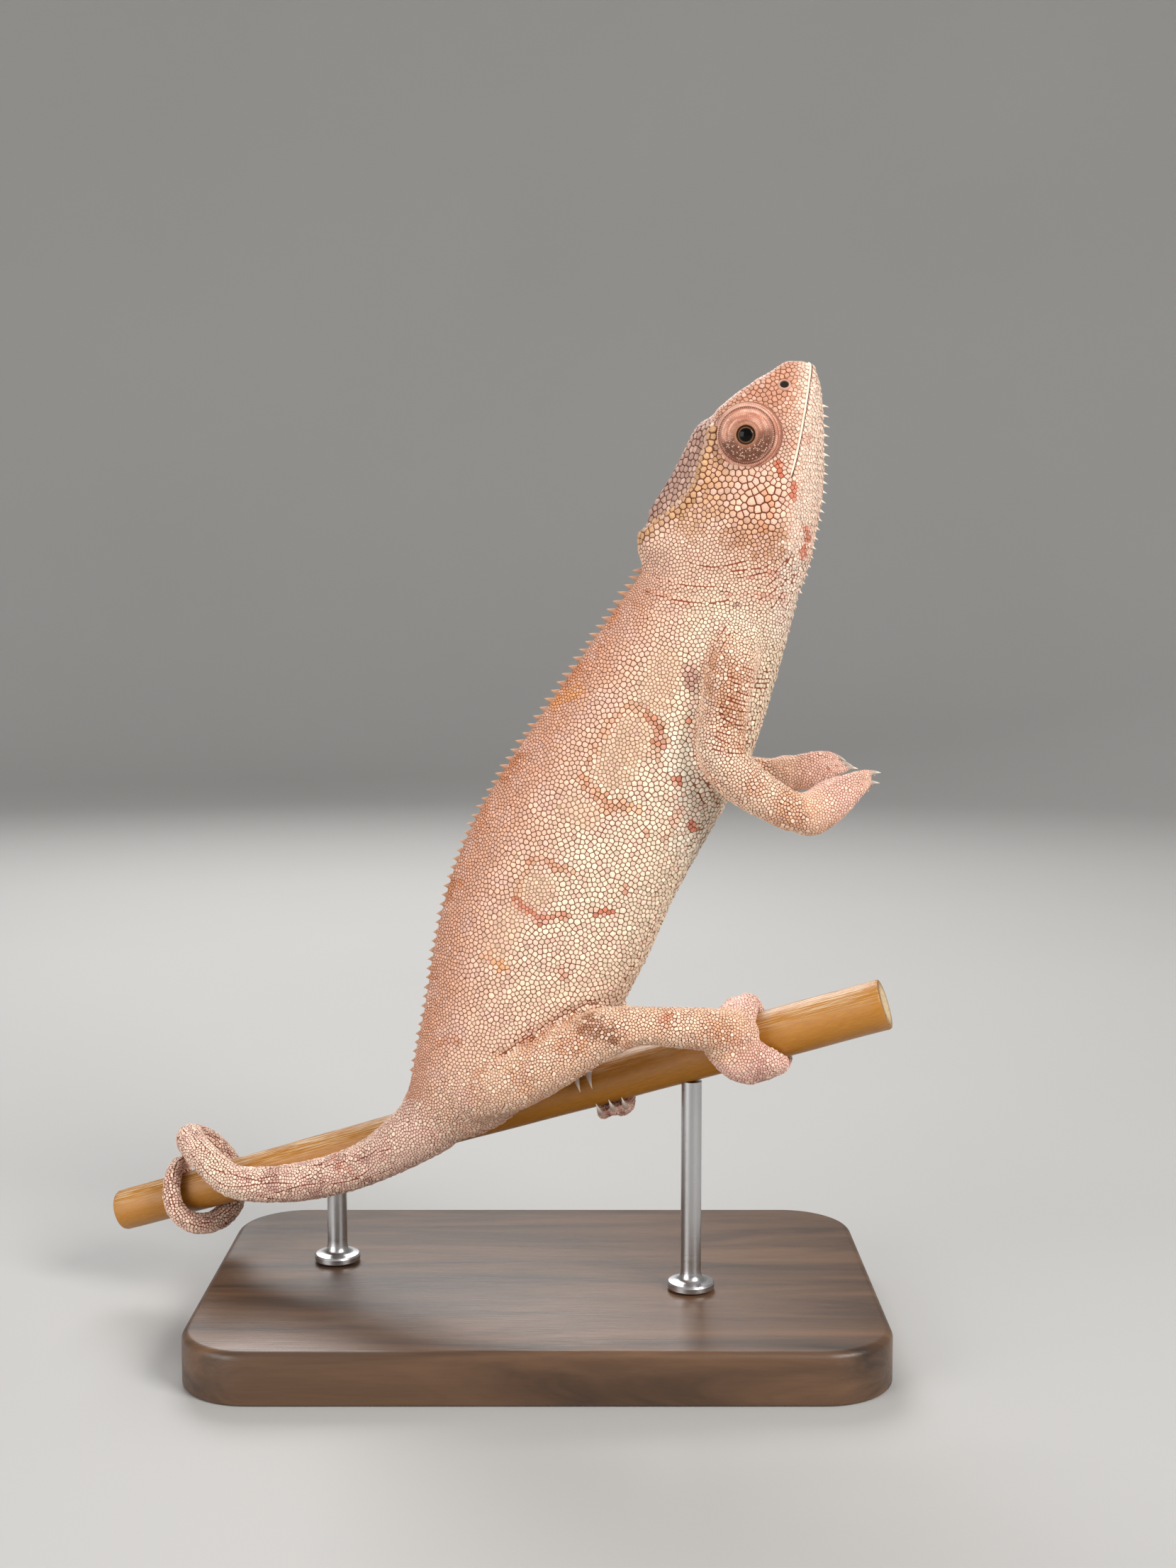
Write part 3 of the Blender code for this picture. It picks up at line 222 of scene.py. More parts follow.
# Strokes of colour on the body and head: tone, strength, half width in pixels, and the line in
# the photograph.
STROKES = (
    # Painted light: this pale stroke lifts the shade of the arm off the front of the flank.
    ((1.0, 0.90, 0.74), 0.8, 34, ((955, 1060), (985, 1110), (975, 1190))),
    (OVAL, 0.9, 38, ((893, 1035), (868, 1085))), (OVAL, 0.85, 30, ((938, 940), (928, 985))),
    (OVAL, 0.8, 24, ((805, 1138), (830, 1150))), (OVAL, 0.8, 30, ((762, 1252), (742, 1275))),
    (OVAL, 0.6, 26, ((715, 1300), (700, 1345))),
    (TAN, 0.6, 9, ((890, 993), (912, 1007), (932, 1021), (934, 1043), (925, 1068))),
    (RUST, 0.55, 8, ((914, 1012), (930, 1028), (930, 1050))),
    (ORANGE, 0.4, 6, ((878, 1003), (858, 1024), (843, 1049), (833, 1073))),
    (ORANGE, 0.65, 11, ((826, 1098), (839, 1119), (857, 1137), (876, 1137))),
    (AMBER, 0.6, 6, ((885, 1136), (902, 1143))),
    (ORANGE, 0.55, 7, ((750, 1213), (782, 1220), (815, 1236))),
    (RED, 0.7, 7, ((727, 1270), (745, 1284), (762, 1297), (795, 1291))),
    (ORANGE, 0.35, 5, ((748, 1215), (737, 1240), (728, 1268))),
    (AMBER, 0.7, 7, ((690, 1350), (708, 1364))), (ORANGE, 0.5, 7, ((622, 1472), (645, 1466))),
    # Painted shadow: a dark line along the hip, where the near thigh meets the trunk.
    (BISTRE, 0.4, 5, ((706, 1486), (740, 1463), (780, 1437), (828, 1412))),
    (AMBER, 0.75, 12, ((784, 992), (812, 978))), (ORANGE, 0.7, 12, ((628, 1268), (640, 1246))),
    (ORANGE, 0.6, 12, ((596, 1390), (604, 1370))),
    (MAUVE, 0.75, 13, ((975, 945), (980, 968))), (RED, 0.85, 6, ((1003, 958), (1006, 966))),
    (RED, 0.75, 6, ((974, 1016), (988, 1018))), (RED, 0.85, 6, ((950, 1102), (958, 1105))),
    (RED, 0.85, 6, ((976, 1160), (979, 1168))), (RED, 0.85, 7, ((843, 1288), (862, 1285))),
    (RED, 0.6, 6, ((878, 1250), (884, 1256))), (RED, 0.5, 6, ((793, 1370), (797, 1378))),
    (RED, 0.5, 5, ((908, 1172), (912, 1178))), (RED, 0.4, 8, ((940, 1180), (960, 1140))),
    (SNOUT, 0.85, 34, ((1112, 530), (1065, 562), (1020, 592))),
    (SNOUT, 0.6, 26, ((1095, 600), (1105, 560))), (TAN, 0.75, 36, ((1050, 752), (1100, 768))),
    (TAN, 0.5, 16, ((1005, 640), (1012, 690), (990, 720))),
    (CHIN, 0.85, 26, ((1150, 516), (1152, 600), (1142, 690), (1122, 800), (1105, 880))),
    (PLATE, 0.7, 42, ((1018, 690), (1078, 706))),
    (CREST, 0.5, 26, ((1006, 640), (1008, 700), (975, 742))),
    (CASQUE, 0.9, 27, ((990, 612), (970, 655), (943, 692), (906, 738))),
    (CREST, 0.9, 9, ((1008, 606), (995, 650), (986, 686), (959, 719), (929, 741), (899, 762))),
    # The MAUVE stroke and the thin RED and RUST lines along the folds of the neck are partly their own
    # colour and partly painted shade in the folds.
    (MAUVE, 0.6, 9, ((1040, 860), (1026, 874), (1012, 898))),
    (RED, 0.5, 3, ((1030, 839), (1058, 838))),
    (RUST, 0.3, 4, ((911, 833), (970, 851))),
    (RED, 0.9, 7, ((1099, 655), (1100, 672))), (RED, 0.8, 6, ((1121, 685), (1117, 705))),
    (ORANGE, 0.6, 8, ((1083, 695), (1086, 725))), (RED, 0.35, 7, ((1113, 622), (1118, 630))),
    (RED, 0.35, 6, ((1136, 616), (1140, 622))), (RED, 0.8, 6, ((1138, 748), (1134, 782))),
    (RED, 0.4, 5, ((1054, 813), (1057, 817))), (RED, 0.4, 6, ((1090, 808), (1095, 812))),
    (RED, 0.35, 8, ((1070, 842), (1108, 842))), (ORANGE, 0.5, 7, ((1072, 738), (1078, 744))),
)
# Strokes on the limbs, in the same way.
LIMB_STROKES = (
    # The BISTRE patch at the knee is partly its own brown and partly painted shade at the bend.
    (BISTRE, 0.88, 21, ((832, 1448), (858, 1458))), (TAN, 0.7, 30, ((1030, 950), (1020, 1000))),
    (TAN, 0.6, 18, ((1030, 1000), (1050, 1050))), (PALE, 0.6, 20, ((995, 1045), (1010, 1075))),
    (TAN, 0.5, 20, ((740, 1440), (800, 1425))), (PALE, 0.5, 14, ((820, 1410), (900, 1415))),
    # Painted shadow along the hip, on the thigh's side of the fold.
    (BISTRE, 0.35, 6, ((706, 1490), (740, 1469), (780, 1443), (828, 1420))),
    (MAUVE, 0.3, 22, ((1050, 1480), (1085, 1520))), (RED, 0.5, 10, ((268, 1615), (284, 1628))),
    (RED, 0.4, 8, ((455, 1660), (470, 1672))), (RED, 0.4, 9, ((945, 1432), (935, 1440))),
    # Painted light: the PALE stroke brightens the tail's loop where it lies in shade.
    (PALE, 0.8, 22, ((250, 1700), (300, 1735))), (RED, 0.3, 8, ((478, 1662), (492, 1668))),
)

# Creases between rows of scales, in the photograph: on the body, then on the near arm and leg.
BODY_SEAMS = (
    ((1114, 780), (1105, 794), (1093, 807)),
    ((1115, 785), (1106, 800), (1095, 814), (1086, 823), (1067, 839)),
    ((1121, 804), (1113, 806), (1103, 817), (1094, 831), (1084, 839), (1071, 846)),
    ((1118, 816), (1113, 828), (1105, 833), (1093, 852), (1088, 858)),
    ((1122, 835), (1115, 845), (1109, 854)), ((1125, 790), (1118, 800)),
    ((1032, 806), (1058, 803), (1079, 800), (1092, 794)),
    ((1031, 817), (1060, 812), (1085, 806)), ((1128, 812), (1124, 822)), ((1030, 839), (1055, 838)),
    ((905, 832), (950, 846), (1000, 851), (1030, 846)), ((925, 815), (970, 826), (1020, 828)),
    ((960, 790), (1005, 800), (1050, 792)), ((1000, 935), (1012, 905), (1024, 884)),
    ((1006, 945), (1016, 918), (1030, 895)), ((985, 1090), (1000, 1110), (1012, 1135)),
    ((990, 1075), (1008, 1100), (1022, 1128)), ((978, 1105), (990, 1128), (1000, 1150)))
LIMB_SEAMS = (
    *(((1040 - 3 * k + 7 * math.sin(2.3 * k), 938 + 8.4 * k),
       (1070 - 3 * k, 947 + 8.4 * k + 2.5 * math.sin(1.7 * k)), (1106 - 3 * k, 946 + 8.4 * k))
      for k in range(15)),
    ((706, 1488), (740, 1466), (780, 1440), (828, 1416)))
# The size kept free along a crease, how readily it breaks off, the step between its points in
# pixels, and the number of creases along the tail.
SEAM_SIZE, SEAM_BREAK, SEAM_STEP, TAIL_CREASES = 0.1, -0.12, 2.2, 19
# Ribs at the belly's edge, rings on the limbs, and clefts between toes that are near enough.
RIB_PITCH, RIB_DEPTH, BELLY_EDGE = 1.3, 0.2, (0.72, 0.95)
RING_PITCH, RING_DEPTH = 1.7, 0.05
TOE_SPACING, CLEFT_DEPTH, CLEFT_WIDTH = 3.5, 0.42, 0.42
# The fold where the near thigh meets the trunk.
HIP_FOLD = ((700, 1492), (740, 1466), (780, 1440), (828, 1416), (850, 1412))
# Folds of the skin: depth, half width in pixels, and the line in the photograph.
FOLDS = (
    (0.55, 6.0, ((1050, 850), (1031, 869), (1016, 893), (1006, 918))),
    (0.35, 5.0, ((930, 832), (985, 842), (1040, 839), (1075, 836), (1105, 822), (1130, 800))),
    (0.25, 4.5, ((925, 812), (975, 820), (1030, 818), (1075, 810), (1110, 790), (1135, 762))),
    (0.25, 4.5, ((912, 862), (950, 866), (1000, 862), (1040, 858))),
    *((0.28, 3.5, line) for line in BODY_SEAMS[1:4]),
    (0.22, 4.0, ((1080, 795), (1110, 765), (1130, 735))),
    (0.35, 7.0, ((660, 1440), (700, 1400), (745, 1375), (790, 1365))),
    (0.3, 6.0, ((690, 1470), (740, 1425), (800, 1400), (850, 1385))),
    (-0.5, 6.0, ((1008, 606), (995, 650), (986, 686), (959, 719), (929, 741), (907, 756))),
    (0.3, 14.0, ((985, 625), (965, 668), (935, 705), (908, 736))),
    (-0.35, 7.0, ((1110, 518), (1060, 550), (1018, 580))),
    (-0.3, 9.0, ((1075, 545), (1105, 545))),
)

# The coat: candidate places for each scale, how close they may start, the distance they want
# and how hard they push, and how far scales stay from the ends of the toes unless they lie close.
CANDIDATES, CLOSEST, WANTED, PUSH, SPREAD_ROUNDS = 8, 0.78, 0.62, 0.16, 40
TIP_REACH, LOOSE = 4.0, 0.32
# A scale: the gap round it as a share of its size and in millimetres, the depth of its root and how far it
# reaches; then the reach of its shoulder, the height of its wall and its tone there, a painted shade that
# darkens the wall towards the groove's tone.
SCALE_GAP, ROOT_DEPTH, FURTHEST = (0.052, 0.019), 0.22, 0.74
PLAIN, PLATED = (0.85, 0.74, 0.88), (0.80, 0.66, 0.75)
# Grades on the trunk and head: name, sizes from and to, and sides. Those with most are plates.
GRADES = (("fine", 0, 0.64, 7), ("large", 0.64, 1.0, 8), ("plates", 1.0, 9, 9))
PLATE_SIDES, MOST_FACES = 9, 190000
# How far apart scales stand on the head and on each kind of limb.
HEAD_SIZE = 0.66
LIMB_SIZES = {"tail": 0.60, "arm": 0.62, "hand": 0.52, "leg": 0.60, "foot": 0.58}
# Sizes at places of the side view: size, reach in pixels, line in the photograph.
MARK_SIZES = (
    (1.2, 40, ((985, 620), (965, 668), (935, 705), (908, 736))), (0.85, 40, ((1110, 540), (1060, 565))),
    (0.72, 36, ((893, 1035), (868, 1085))), (0.7, 30, ((938, 940), (928, 985))),
    (0.7, 30, ((762, 1252), (742, 1275))),
    (0.95, 70, ((1015, 690), (1075, 705))), (1.18, 42, ((1035, 690), (1075, 705))),
    (1.7, 14, ((1068, 706), (1076, 716))), (0.62, 30, ((1150, 520), (1140, 760))),
)


def row_point(x, y, z):
    """A point of the tables as a vector in metres."""
    return Vector((x, y, z + LIFT)) * MM


def places_of(mesh):
    """The places of a mesh's vertices in the millimetres of the tables."""
    found = np.zeros(len(mesh.vertices) * 3)
    mesh.vertices.foreach_get("co", found)
    return found.reshape(-1, 3) / MM - (0, 0, LIFT)


def to_metres(places):
    """Places of the tables as one flat row of metres."""
    return ((places.reshape(-1, 3) + (0, 0, LIFT)) * MM).ravel()


def smooth_rows(rows, steps):
    """Rows of numbers along a smooth curve through the given rows."""
    rows = np.array(rows, float)
    before = np.vstack([rows[:1], rows[:-2]])
    after = np.vstack([rows[2:], rows[-1:]])
    here, ahead = rows[:-1], rows[1:]
    found = []
    for k in range(steps):
        t = k / steps
        square = 2 * before - 5 * here + 4 * ahead - after
        cube = 3 * here - before - 3 * ahead + after
        found.append(0.5 * (2 * here + (ahead - before) * t + square * t * t + cube * t ** 3))
    return np.vstack([np.stack(found, 1).reshape(-1, rows.shape[1]), rows[-1:]])


def round_cane(station, degrees, radius, off=0.0):
    """The middle and radius of something that lies against the cane."""
    turn = math.radians(degrees)
    reach = CANE_RADIUS + CANE_TAPER * station + CANE_GAP + off + radius
    at = CANE_POINT + CANE_AXIS * station
    at = at + reach * (CANE_FRONT * math.cos(turn) + CANE_TOP * math.sin(turn))
    return (*at, radius)


def step(value, low, high):
    """0 below low, 1 above high, and a smooth rise between them."""
    t = np.clip((np.asarray(value, float) - low) / (high - low), 0, 1)
    return t * t * (3 - 2 * t)


def mix(colours, other, share):
    """Colours moved towards another colour by a share each."""
    colours = np.array(colours)
    return colours + (np.array(other) - colours) * np.asarray(share, float)[:, None]


def unit(vectors):
    """Vectors, one in each row, at a length of one."""
    return vectors / np.maximum(np.linalg.norm(vectors, axis=-1), 1e-9)[..., None]


def mirrored(place):
    """The place on the other side of the body."""
    return (place[0], 2 * MIDDLE_PLANE - place[1], place[2])


def mottle(points, size, seed):
    """A smooth random number from about -1 to 1 at each point, with patches of this size."""
    shift = Vector((seed * 17.3, seed * 5.1, seed * 9.7))
    return np.array([noise.noise(Vector(p) / size + shift) for p in points])


def photo_place(points):
    """The pixel of the photograph where each point of the right side shows, mirrored for the left."""
    seen = points.copy()
    seen[:, 1] = MIDDLE_PLANE - np.abs(points[:, 1] - MIDDLE_PLANE)
    back = np.array(BACK)
    ray = seen - (np.array(AIM) - (0, 0, LIFT) + back * DISTANCE)
    depth = -(ray @ back)
    return np.stack([PHOTO_SIZE[0] / 2 + FOCAL * ray[:, 0] / depth,
                     PHOTO_SIZE[1] / 2 - FOCAL * (ray @ np.array(ABOVE)) / depth], 1)


def photo_point(surface, pixel):
    """The point of the right side of the skin that shows at a pixel of the photograph."""
    back = Vector(BACK)
    across = (pixel[0] - PHOTO_SIZE[0] / 2) / FOCAL
    rise = (PHOTO_SIZE[1] / 2 - pixel[1]) / FOCAL
    eye = AIM - UP * LIFT + back * DISTANCE
    look = Vector((across, 0, 0)) + Vector(ABOVE) * rise - back
    return surface.ray_cast(eye, look.normalized())[0]


def from_line(places, line):
    """How far each place is from a line of points."""
    line = np.array(line, float)
    best = np.full(len(places), 1e9)
    for a, b in zip(line[:-1], line[1:]):
        t = np.clip((places - a) @ (b - a) / np.linalg.norm(b - a) ** 2, 0, 1)
        best = np.minimum(best, np.linalg.norm(places - a - t[:, None] * (b - a), axis=1))
    return best


def mesh_object(name, mesh, material=None):
    """An object of the scene from a mesh."""
    obj = bpy.data.objects.new(name, mesh)
    bpy.context.scene.collection.objects.link(obj)
    if material:
        mesh.materials.append(material)
    return obj


def dressed(obj, slot, *nodes):
    """Attaches a piece to the root and hides the nodes that it stands for. The slot, its finish, is not
    used.
    """
    if nodes:
        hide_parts(*nodes)
    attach(obj, "root")


def from_bmesh(name, work, material):
    """A smooth object from a bmesh whose places are in metres."""
    mesh = bpy.data.meshes.new(name)
    bmesh.ops.recalc_face_normals(work, faces=work.faces)
    work.to_mesh(mesh)
    work.free()
    mesh.shade_smooth()
    return mesh_object(name, mesh, material)


def applied(obj):
    """Makes the object's modifiers real."""
    bpy.context.view_layer.update()
    evaluated = obj.evaluated_get(bpy.context.evaluated_depsgraph_get())
    mesh = bpy.data.meshes.new_from_object(evaluated)
    obj.modifiers.clear()
    obj.data = mesh
    return obj


def paint(mesh, colours):
    """Gives each vertex its own colour."""
    layer = mesh.attributes.new("paint", "FLOAT_COLOR", "POINT")
    full = np.ones((len(mesh.vertices), 4), np.float32)
    full[:, :3] = np.clip(colours, 0, 1)
    layer.data.foreach_set("color", full.ravel())


# The body's own measures.

def body_axes():
    """The middle lines of the tail and limbs as smooth rows of (x, y, z, radius)."""
    tail = [*TAIL_ROOT, *(round_cane(*row) for row in TAIL)]
    return {"tail": smooth_rows(tail, 2), **{name: smooth_rows(rows, 3) for name, rows in LIMBS.items()}}


def slice_measures(points):
    """Each point's station along the body and its share of the way from the back to the belly."""
    slices = smooth_rows(SLICES, 4)
    top, bottom = slices[:, :2], slices[:, 2:]
    places = points[:, (0, 2)]
    down = bottom - top
    ahead = (places[:, None, 1] - top[None, :, 1]) * down[None, :, 0]
    ahead = ahead - (places[:, None, 0] - top[None, :, 0]) * down[None, :, 1]
    at = np.clip((ahead > 0).sum(1) - 1, 0, len(slices) - 2)
    rows = np.arange(len(points))
    low, high = ahead[rows, at], ahead[rows, at + 1]
    share = np.clip(low / np.where(low - high == 0, 1, low - high), 0, 1)
    here = slices[at] + (slices[at + 1] - slices[at]) * share[:, None]
    across = here[:, 2:] - here[:, :2]
    down_share = ((places - here[:, :2]) * across).sum(1) / (across ** 2).sum(1)
    along = np.zeros((len(points), 3))
    step_on = (slices[at + 1] - slices[at]) @ np.array(((1, 0), (0, 1), (1, 0), (0, 1)))
    along[:, (0, 2)] = step_on / np.linalg.norm(step_on, axis=1)[:, None]
    return (at + share) / 4, down_share, along


def survey(points):
    """What part of the body each point belongs to, and its measures there."""
    count = len(points)
    region, along, turn = np.zeros(count, int), np.zeros(count), np.zeros(count)
    station, down, way = slice_measures(points)
    # A point is a limb's where it lies nearer to the limb's surface than this.
    best = 0.8 + 3.4 * step(np.abs(down - 0.5), 0.54, 0.75)
    region[station > HEAD_STATION] = 1
    for number, (name, rows) in enumerate(body_axes().items(), 2):
        done = 0.0
        for a, b in zip(rows[:-1], rows[1:]):
            step_on = b[:3] - a[:3]
            length = np.linalg.norm(step_on)
            t = np.clip((points - a[:3]) @ step_on / length ** 2, 0, 1)
            out = points - a[:3] - t[:, None] * step_on
            far = np.linalg.norm(out, axis=1) - (a[3] + (b[3] - a[3]) * t)
            closer = far < best
            best = np.where(closer, far, best)
            region[closer] = number
            along = np.where(closer, done + t * length, along)
            way[closer] = step_on / length
            side = np.cross(step_on / length, SIDE_GUIDE)
            up = np.cross(side, step_on / length)
            turn = np.where(closer, np.arctan2(out @ up, out @ side) / TURN + 0.5, turn)
            done += length
    return {"region": region, "along": along, "turn": turn, "station": station, "down": down,
            "way": way, "pixel": photo_place(points)}


def kinds(ending):
    """The numbers of the regions whose names end so."""
    return [number for number, name in enumerate(REGIONS) if name.endswith(ending)]


# The skin.

def press_claws(part):
    """Presses the claws of a foot's solid back into the ends of its toes."""
    for root, out, *_ in claw_places():
        for vert in part.verts:
            local = vert.co / MM - UP * LIFT - root
            along = local.dot(out)
            if 0 < along < SOLID_CLAW[0] and (local - out * along).length < SOLID_CLAW[1]:
                vert.co -= out * along * MM


def flesh_part(name):
    """A flesh node's mesh without its spines and claws, swollen a little so that it meets the next."""
    part = bmesh.new()
    part.from_mesh(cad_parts[name].data)
    bmesh.ops.remove_doubles(part, verts=part.verts, dist=1e-6)
    if name.endswith(("hand", "foot")):
        press_claws(part)
    part.normal_update()
    if name in SPINY:
        tips = [v for v in part.verts if v.link_faces and SPINE_TIP > sum(
            f.normal.dot(v.normal) for f in v.link_faces) / len(v.link_faces)
            and max(e.calc_length() for e in v.link_edges) < SPINE_EDGE * MM]
        bmesh.ops.dissolve_verts(part, verts=tips)
        part.normal_update()
    for vert in part.verts:
        vert.co += vert.normal * SWELL * MM
    mesh = bpy.data.meshes.new(name)
    part.to_mesh(mesh)
    part.free()
    return mesh


def flesh_shell():
    """All the flesh nodes as one closed mesh of even quads."""
    whole = bmesh.new()
    for name in FLESH + FILLED:
        whole.from_mesh(flesh_part(name))
    mesh = bpy.data.meshes.new("flesh")
    whole.to_mesh(mesh)
    whole.free()
    shell = mesh_object("flesh", mesh)
    remesh = shell.modifiers.new("skin", "REMESH")
    remesh.mode = "VOXEL"
    remesh.voxel_size = VOXEL * MM
    remesh.adaptivity = 0
    return applied(shell)


def neighbours_mean(values, edges, degree):
    """The mean of each vertex's neighbours."""
    total = np.zeros_like(values)
    for k in range(values.shape[1]):
        total[:, k] = (np.bincount(edges[:, 0], values[edges[:, 1], k], len(values))
                       + np.bincount(edges[:, 1], values[edges[:, 0], k], len(values)))
    return total / degree[:, None]


def quad_normals(points, quads):
    """Each vertex's normal from the quads round it."""
    corners = points[quads]
    face = np.cross(corners[:, 2] - corners[:, 0], corners[:, 3] - corners[:, 1])
    normal = np.zeros_like(points)
    for k in range(3):
        normal[:, k] = np.bincount(quads.ravel(), np.repeat(face[:, k], 4), len(points))
    return unit(normal)


def make_skin(material):
    """One skin over all the flesh, and what the scales need to know of it."""
    shell = flesh_shell()
    mesh = shell.data
    points = places_of(mesh)
    quads = np.zeros(len(mesh.loops), int)
    mesh.loops.foreach_get("vertex_index", quads)
    quads = quads.reshape(-1, 4)
    edges = np.zeros(len(mesh.edges) * 2, int)
    mesh.edges.foreach_get("vertices", edges)
    edges = edges.reshape(-1, 2)
    degree = np.bincount(edges.ravel(), minlength=len(points)).astype(float)

    def mean(values):
        return neighbours_mean(values, edges, degree)

    def soft_normals(rounds):
        normals = quad_normals(points, quads)
        for _ in range(rounds):
            normals = mean(normals)
        return unit(normals)

    joining = np.zeros(len(points))
    for x, y, z, reach in JOINS:
        far = np.linalg.norm(points - (x, y, z), axis=1)
        joining = np.maximum(joining, 1 - step(far, 0.5 * reach, reach))
    for _ in range(SMOOTH_ROUNDS):
        points += EASE * (mean(points) - points)
        points -= GROW * (mean(points) - points)
    for _ in range(JOIN_ROUNDS):
        points += EASE * joining[:, None] * (mean(points) - points)
    normals = soft_normals(3)
    points -= normals * (SWELL + COAT_DEPTH)
    facts = survey(points)
    points = folded(points, normals, facts)
    for _ in range(FOLD_ROUNDS):
        points += FOLD_EASE * (mean(points) - points)
    mesh.vertices.foreach_set("co", to_metres(points))
    mesh.update()
    mesh.shade_smooth()
    mesh.materials.clear()
    mesh.materials.append(material)
    shell.name = "skin"
    dressed(shell, "skin", *FLESH)
    return shell, points, quads, soft_normals(2), facts


def body_length(station):
    """How many millimetres along the body a station lies."""
    slices = smooth_rows(SLICES, 4)
    middle = 0.5 * (slices[:, :2] + slices[:, 2:])
    length = np.concatenate([[0], np.cumsum(np.linalg.norm(np.diff(middle, axis=0), axis=1))])
    return np.interp(station * 4, np.arange(len(slices)), length)


def folded(points, normals, facts):
    """The skin with its folds: lines of the side view, ribs at the belly's edge, rings on the limbs."""
    sink = np.zeros(len(points))
    pixel, region = facts["pixel"], facts["region"]
    body = region < 2
    for depth, width, line in FOLDS:
        far = from_line(pixel[body], line)
        sink[body] += depth * np.exp(-(far / width) ** 2)
        sink[body] -= 0.35 * depth * np.exp(-((far - 2.2 * width) / width) ** 2)
    ribs = np.cos(body_length(facts["station"]) * TURN / RIB_PITCH)
    sink += body * RIB_DEPTH * ribs * step(facts["down"], *BELLY_EDGE)
    rings = np.cos(facts["along"] * TURN / RING_PITCH)
    limb = (region > 2) & ~np.isin(region, kinds("foot"))
    sink[limb] += RING_DEPTH * rings[limb]
    far = from_line(pixel, HIP_FOLD)
    hip = 0.5 * np.exp(-(far / 4.5) ** 2) - 0.2 * np.exp(-((far - 11) / 5) ** 2)
    sink += (points[:, 1] < MIDDLE_PLANE) * hip
    sink += CLEFT_DEPTH * toe_clefts(points)
    return points - normals * sink[:, None]


def toe_clefts(points):
    """1 along the clefts between neighbouring toes, falling to 0 beside them."""
    found = np.zeros(len(points))
    cane = [(round_cane(*inner)[:3], round_cane(*end)[:3]) for inner, end in CANE_CLAWS]
    toes = [*cane, *((inner, end[:3]) for inner, end in FREE_CLAWS)]
    for one, other in zip(toes[:-1], toes[1:]):
        inner, end = (0.5 * (np.array(a) + np.array(b)) for a, b in zip(one, other))
        apart = np.array(other[1]) - np.array(one[1])
        if np.linalg.norm(apart) > TOE_SPACING:
            continue
        ahead = end - inner
        ahead /= np.linalg.norm(ahead)
        apart -= ahead * (apart @ ahead)
        apart /= np.linalg.norm(apart)
        local = points - end
        along = local @ ahead
        out = np.linalg.norm(local - along[:, None] * ahead, axis=1)
        window = step(along, -4.5, -1.5) * (1 - step(along, 2.0, 3.0)) * (1 - step(out, 2.4, 3.4))
        found = np.maximum(found, window * np.exp(-((local @ apart) / CLEFT_WIDTH) ** 2))
    return found


# Colours of the coat.

def markings(points, facts):
    """The animal's colour at each point."""
    region, station, down, along = (facts[key] for key in ("region", "station", "down", "along"))
    patch, fine, flush = mottle(points, 6.5, 1), mottle(points, 1.3, 2), mottle(points, 4.0, 3)
    colour = mix(SALMON, ORANGE, (1 - step(down, 0.0, 0.12)) * step(patch, -0.1, 0.5) * 0.8)
    colour = mix(colour, PEACH, step(down + 0.07 * patch, 0.08, 0.3))
    colour = mix(colour, CREAM, step(down + 0.08 * patch, 0.24, 0.52) * step(station, 1.5, 5))
    colour = mix(colour, BLUSH, 0.55 * step(flush, 0.0, 0.6) * (1 - step(down, 0.6, 1.0)))
    colour = mix(colour, HEAD_BASE, step(station, 10.8, 12.6))
    body = region < 2
    colour = stroked(colour, STROKES, body, facts, fine, (0.6, 3.5, 0.5))
    for number, name in enumerate(REGIONS[2:], 2):
        kind = name.split("_")[-1]
        for layer in {"hand": ("arm", "hand"), "foot": ("leg", "foot")}.get(kind, (kind,)):
            base, other, amount = LIMB_TONES[layer]
            tone = mix(base, other, step(patch + 0.5 * flush, -0.2, 0.7) * amount)
            under = layer in ("arm", "leg") and layer not in name
            blend = ((region == number) * (1.0 if under else step(along, 1.0, 9.0)))[:, None]
            colour = colour * (1 - blend) + tone * blend
    # Painted shade: darker in the valleys between the ribs at the belly's edge, where the skin is folded
    # in.
    valleys = 0.5 + 0.5 * np.cos(body_length(station) * TURN / RIB_PITCH)
    colour *= (1 - 0.2 * body * valleys * step(down, *BELLY_EDGE))[:, None]
    streaks = mottle(np.stack([along / 2.2, facts["turn"] * 17, 0 * station], 1), 1.0, 8)
    share = (region == 2) * step(along, 14, 26)
    colour = mix(colour, STREAK, 0.55 * share * step(streaks, 0.0, 0.35))
    colour = mix(colour, PALE, 0.5 * share * (1 - step(streaks, -0.4, -0.1)))
    colour = stroked(colour, LIMB_STROKES, region > 1, facts, fine, (0.5, 0, 0.4))
    return colour * (1 + 0.05 * fine)[:, None]


def stroked(colour, strokes, where, facts, fine, edge):
    """Colours with strokes laid on where asked. The edge says how much it wanders with the width
    and at least, in pixels, and at what share of the width a stroke starts to fade."""
    wander, least, start = edge
    for tone, strength, width, line in strokes:
        far = from_line(facts["pixel"], line)
        share = strength * (1 - step(far + (wander * width + least) * fine, start * width, 1.1 * width))
        colour = np.where(where[:, None], mix(colour, tone, share), colour)
    return colour


def groove_tones(facts):
    """How much darker and redder the skin is between the scales of each part: partly its own tone, partly
    painted shade in the grooves.
    """
    region = facts["region"]
    tones = np.array(GROOVE)
    for tone, full, none, lowest, line in LINE_GROOVES:
        far = from_line(facts["pixel"], line)
        tones = mix(tones, tone, (1 - step(far, full, none)) * (facts["station"] > lowest))
    for tone, _, width, line in STROKES:
        if tone == OVAL:
            far = from_line(facts["pixel"], line)
            tones = mix(tones, OVAL_GROOVE, 0.9 * (1 - step(far, 0.6 * width, width)))
    for ending, tone in (("", LIMB_GROOVE), ("hand", HAND_GROOVE), ("foot", FINE_GROOVE)):
        tones[(region > 1) & np.isin(region, kinds(ending))] = tone
    return tones


# The coat of scales.

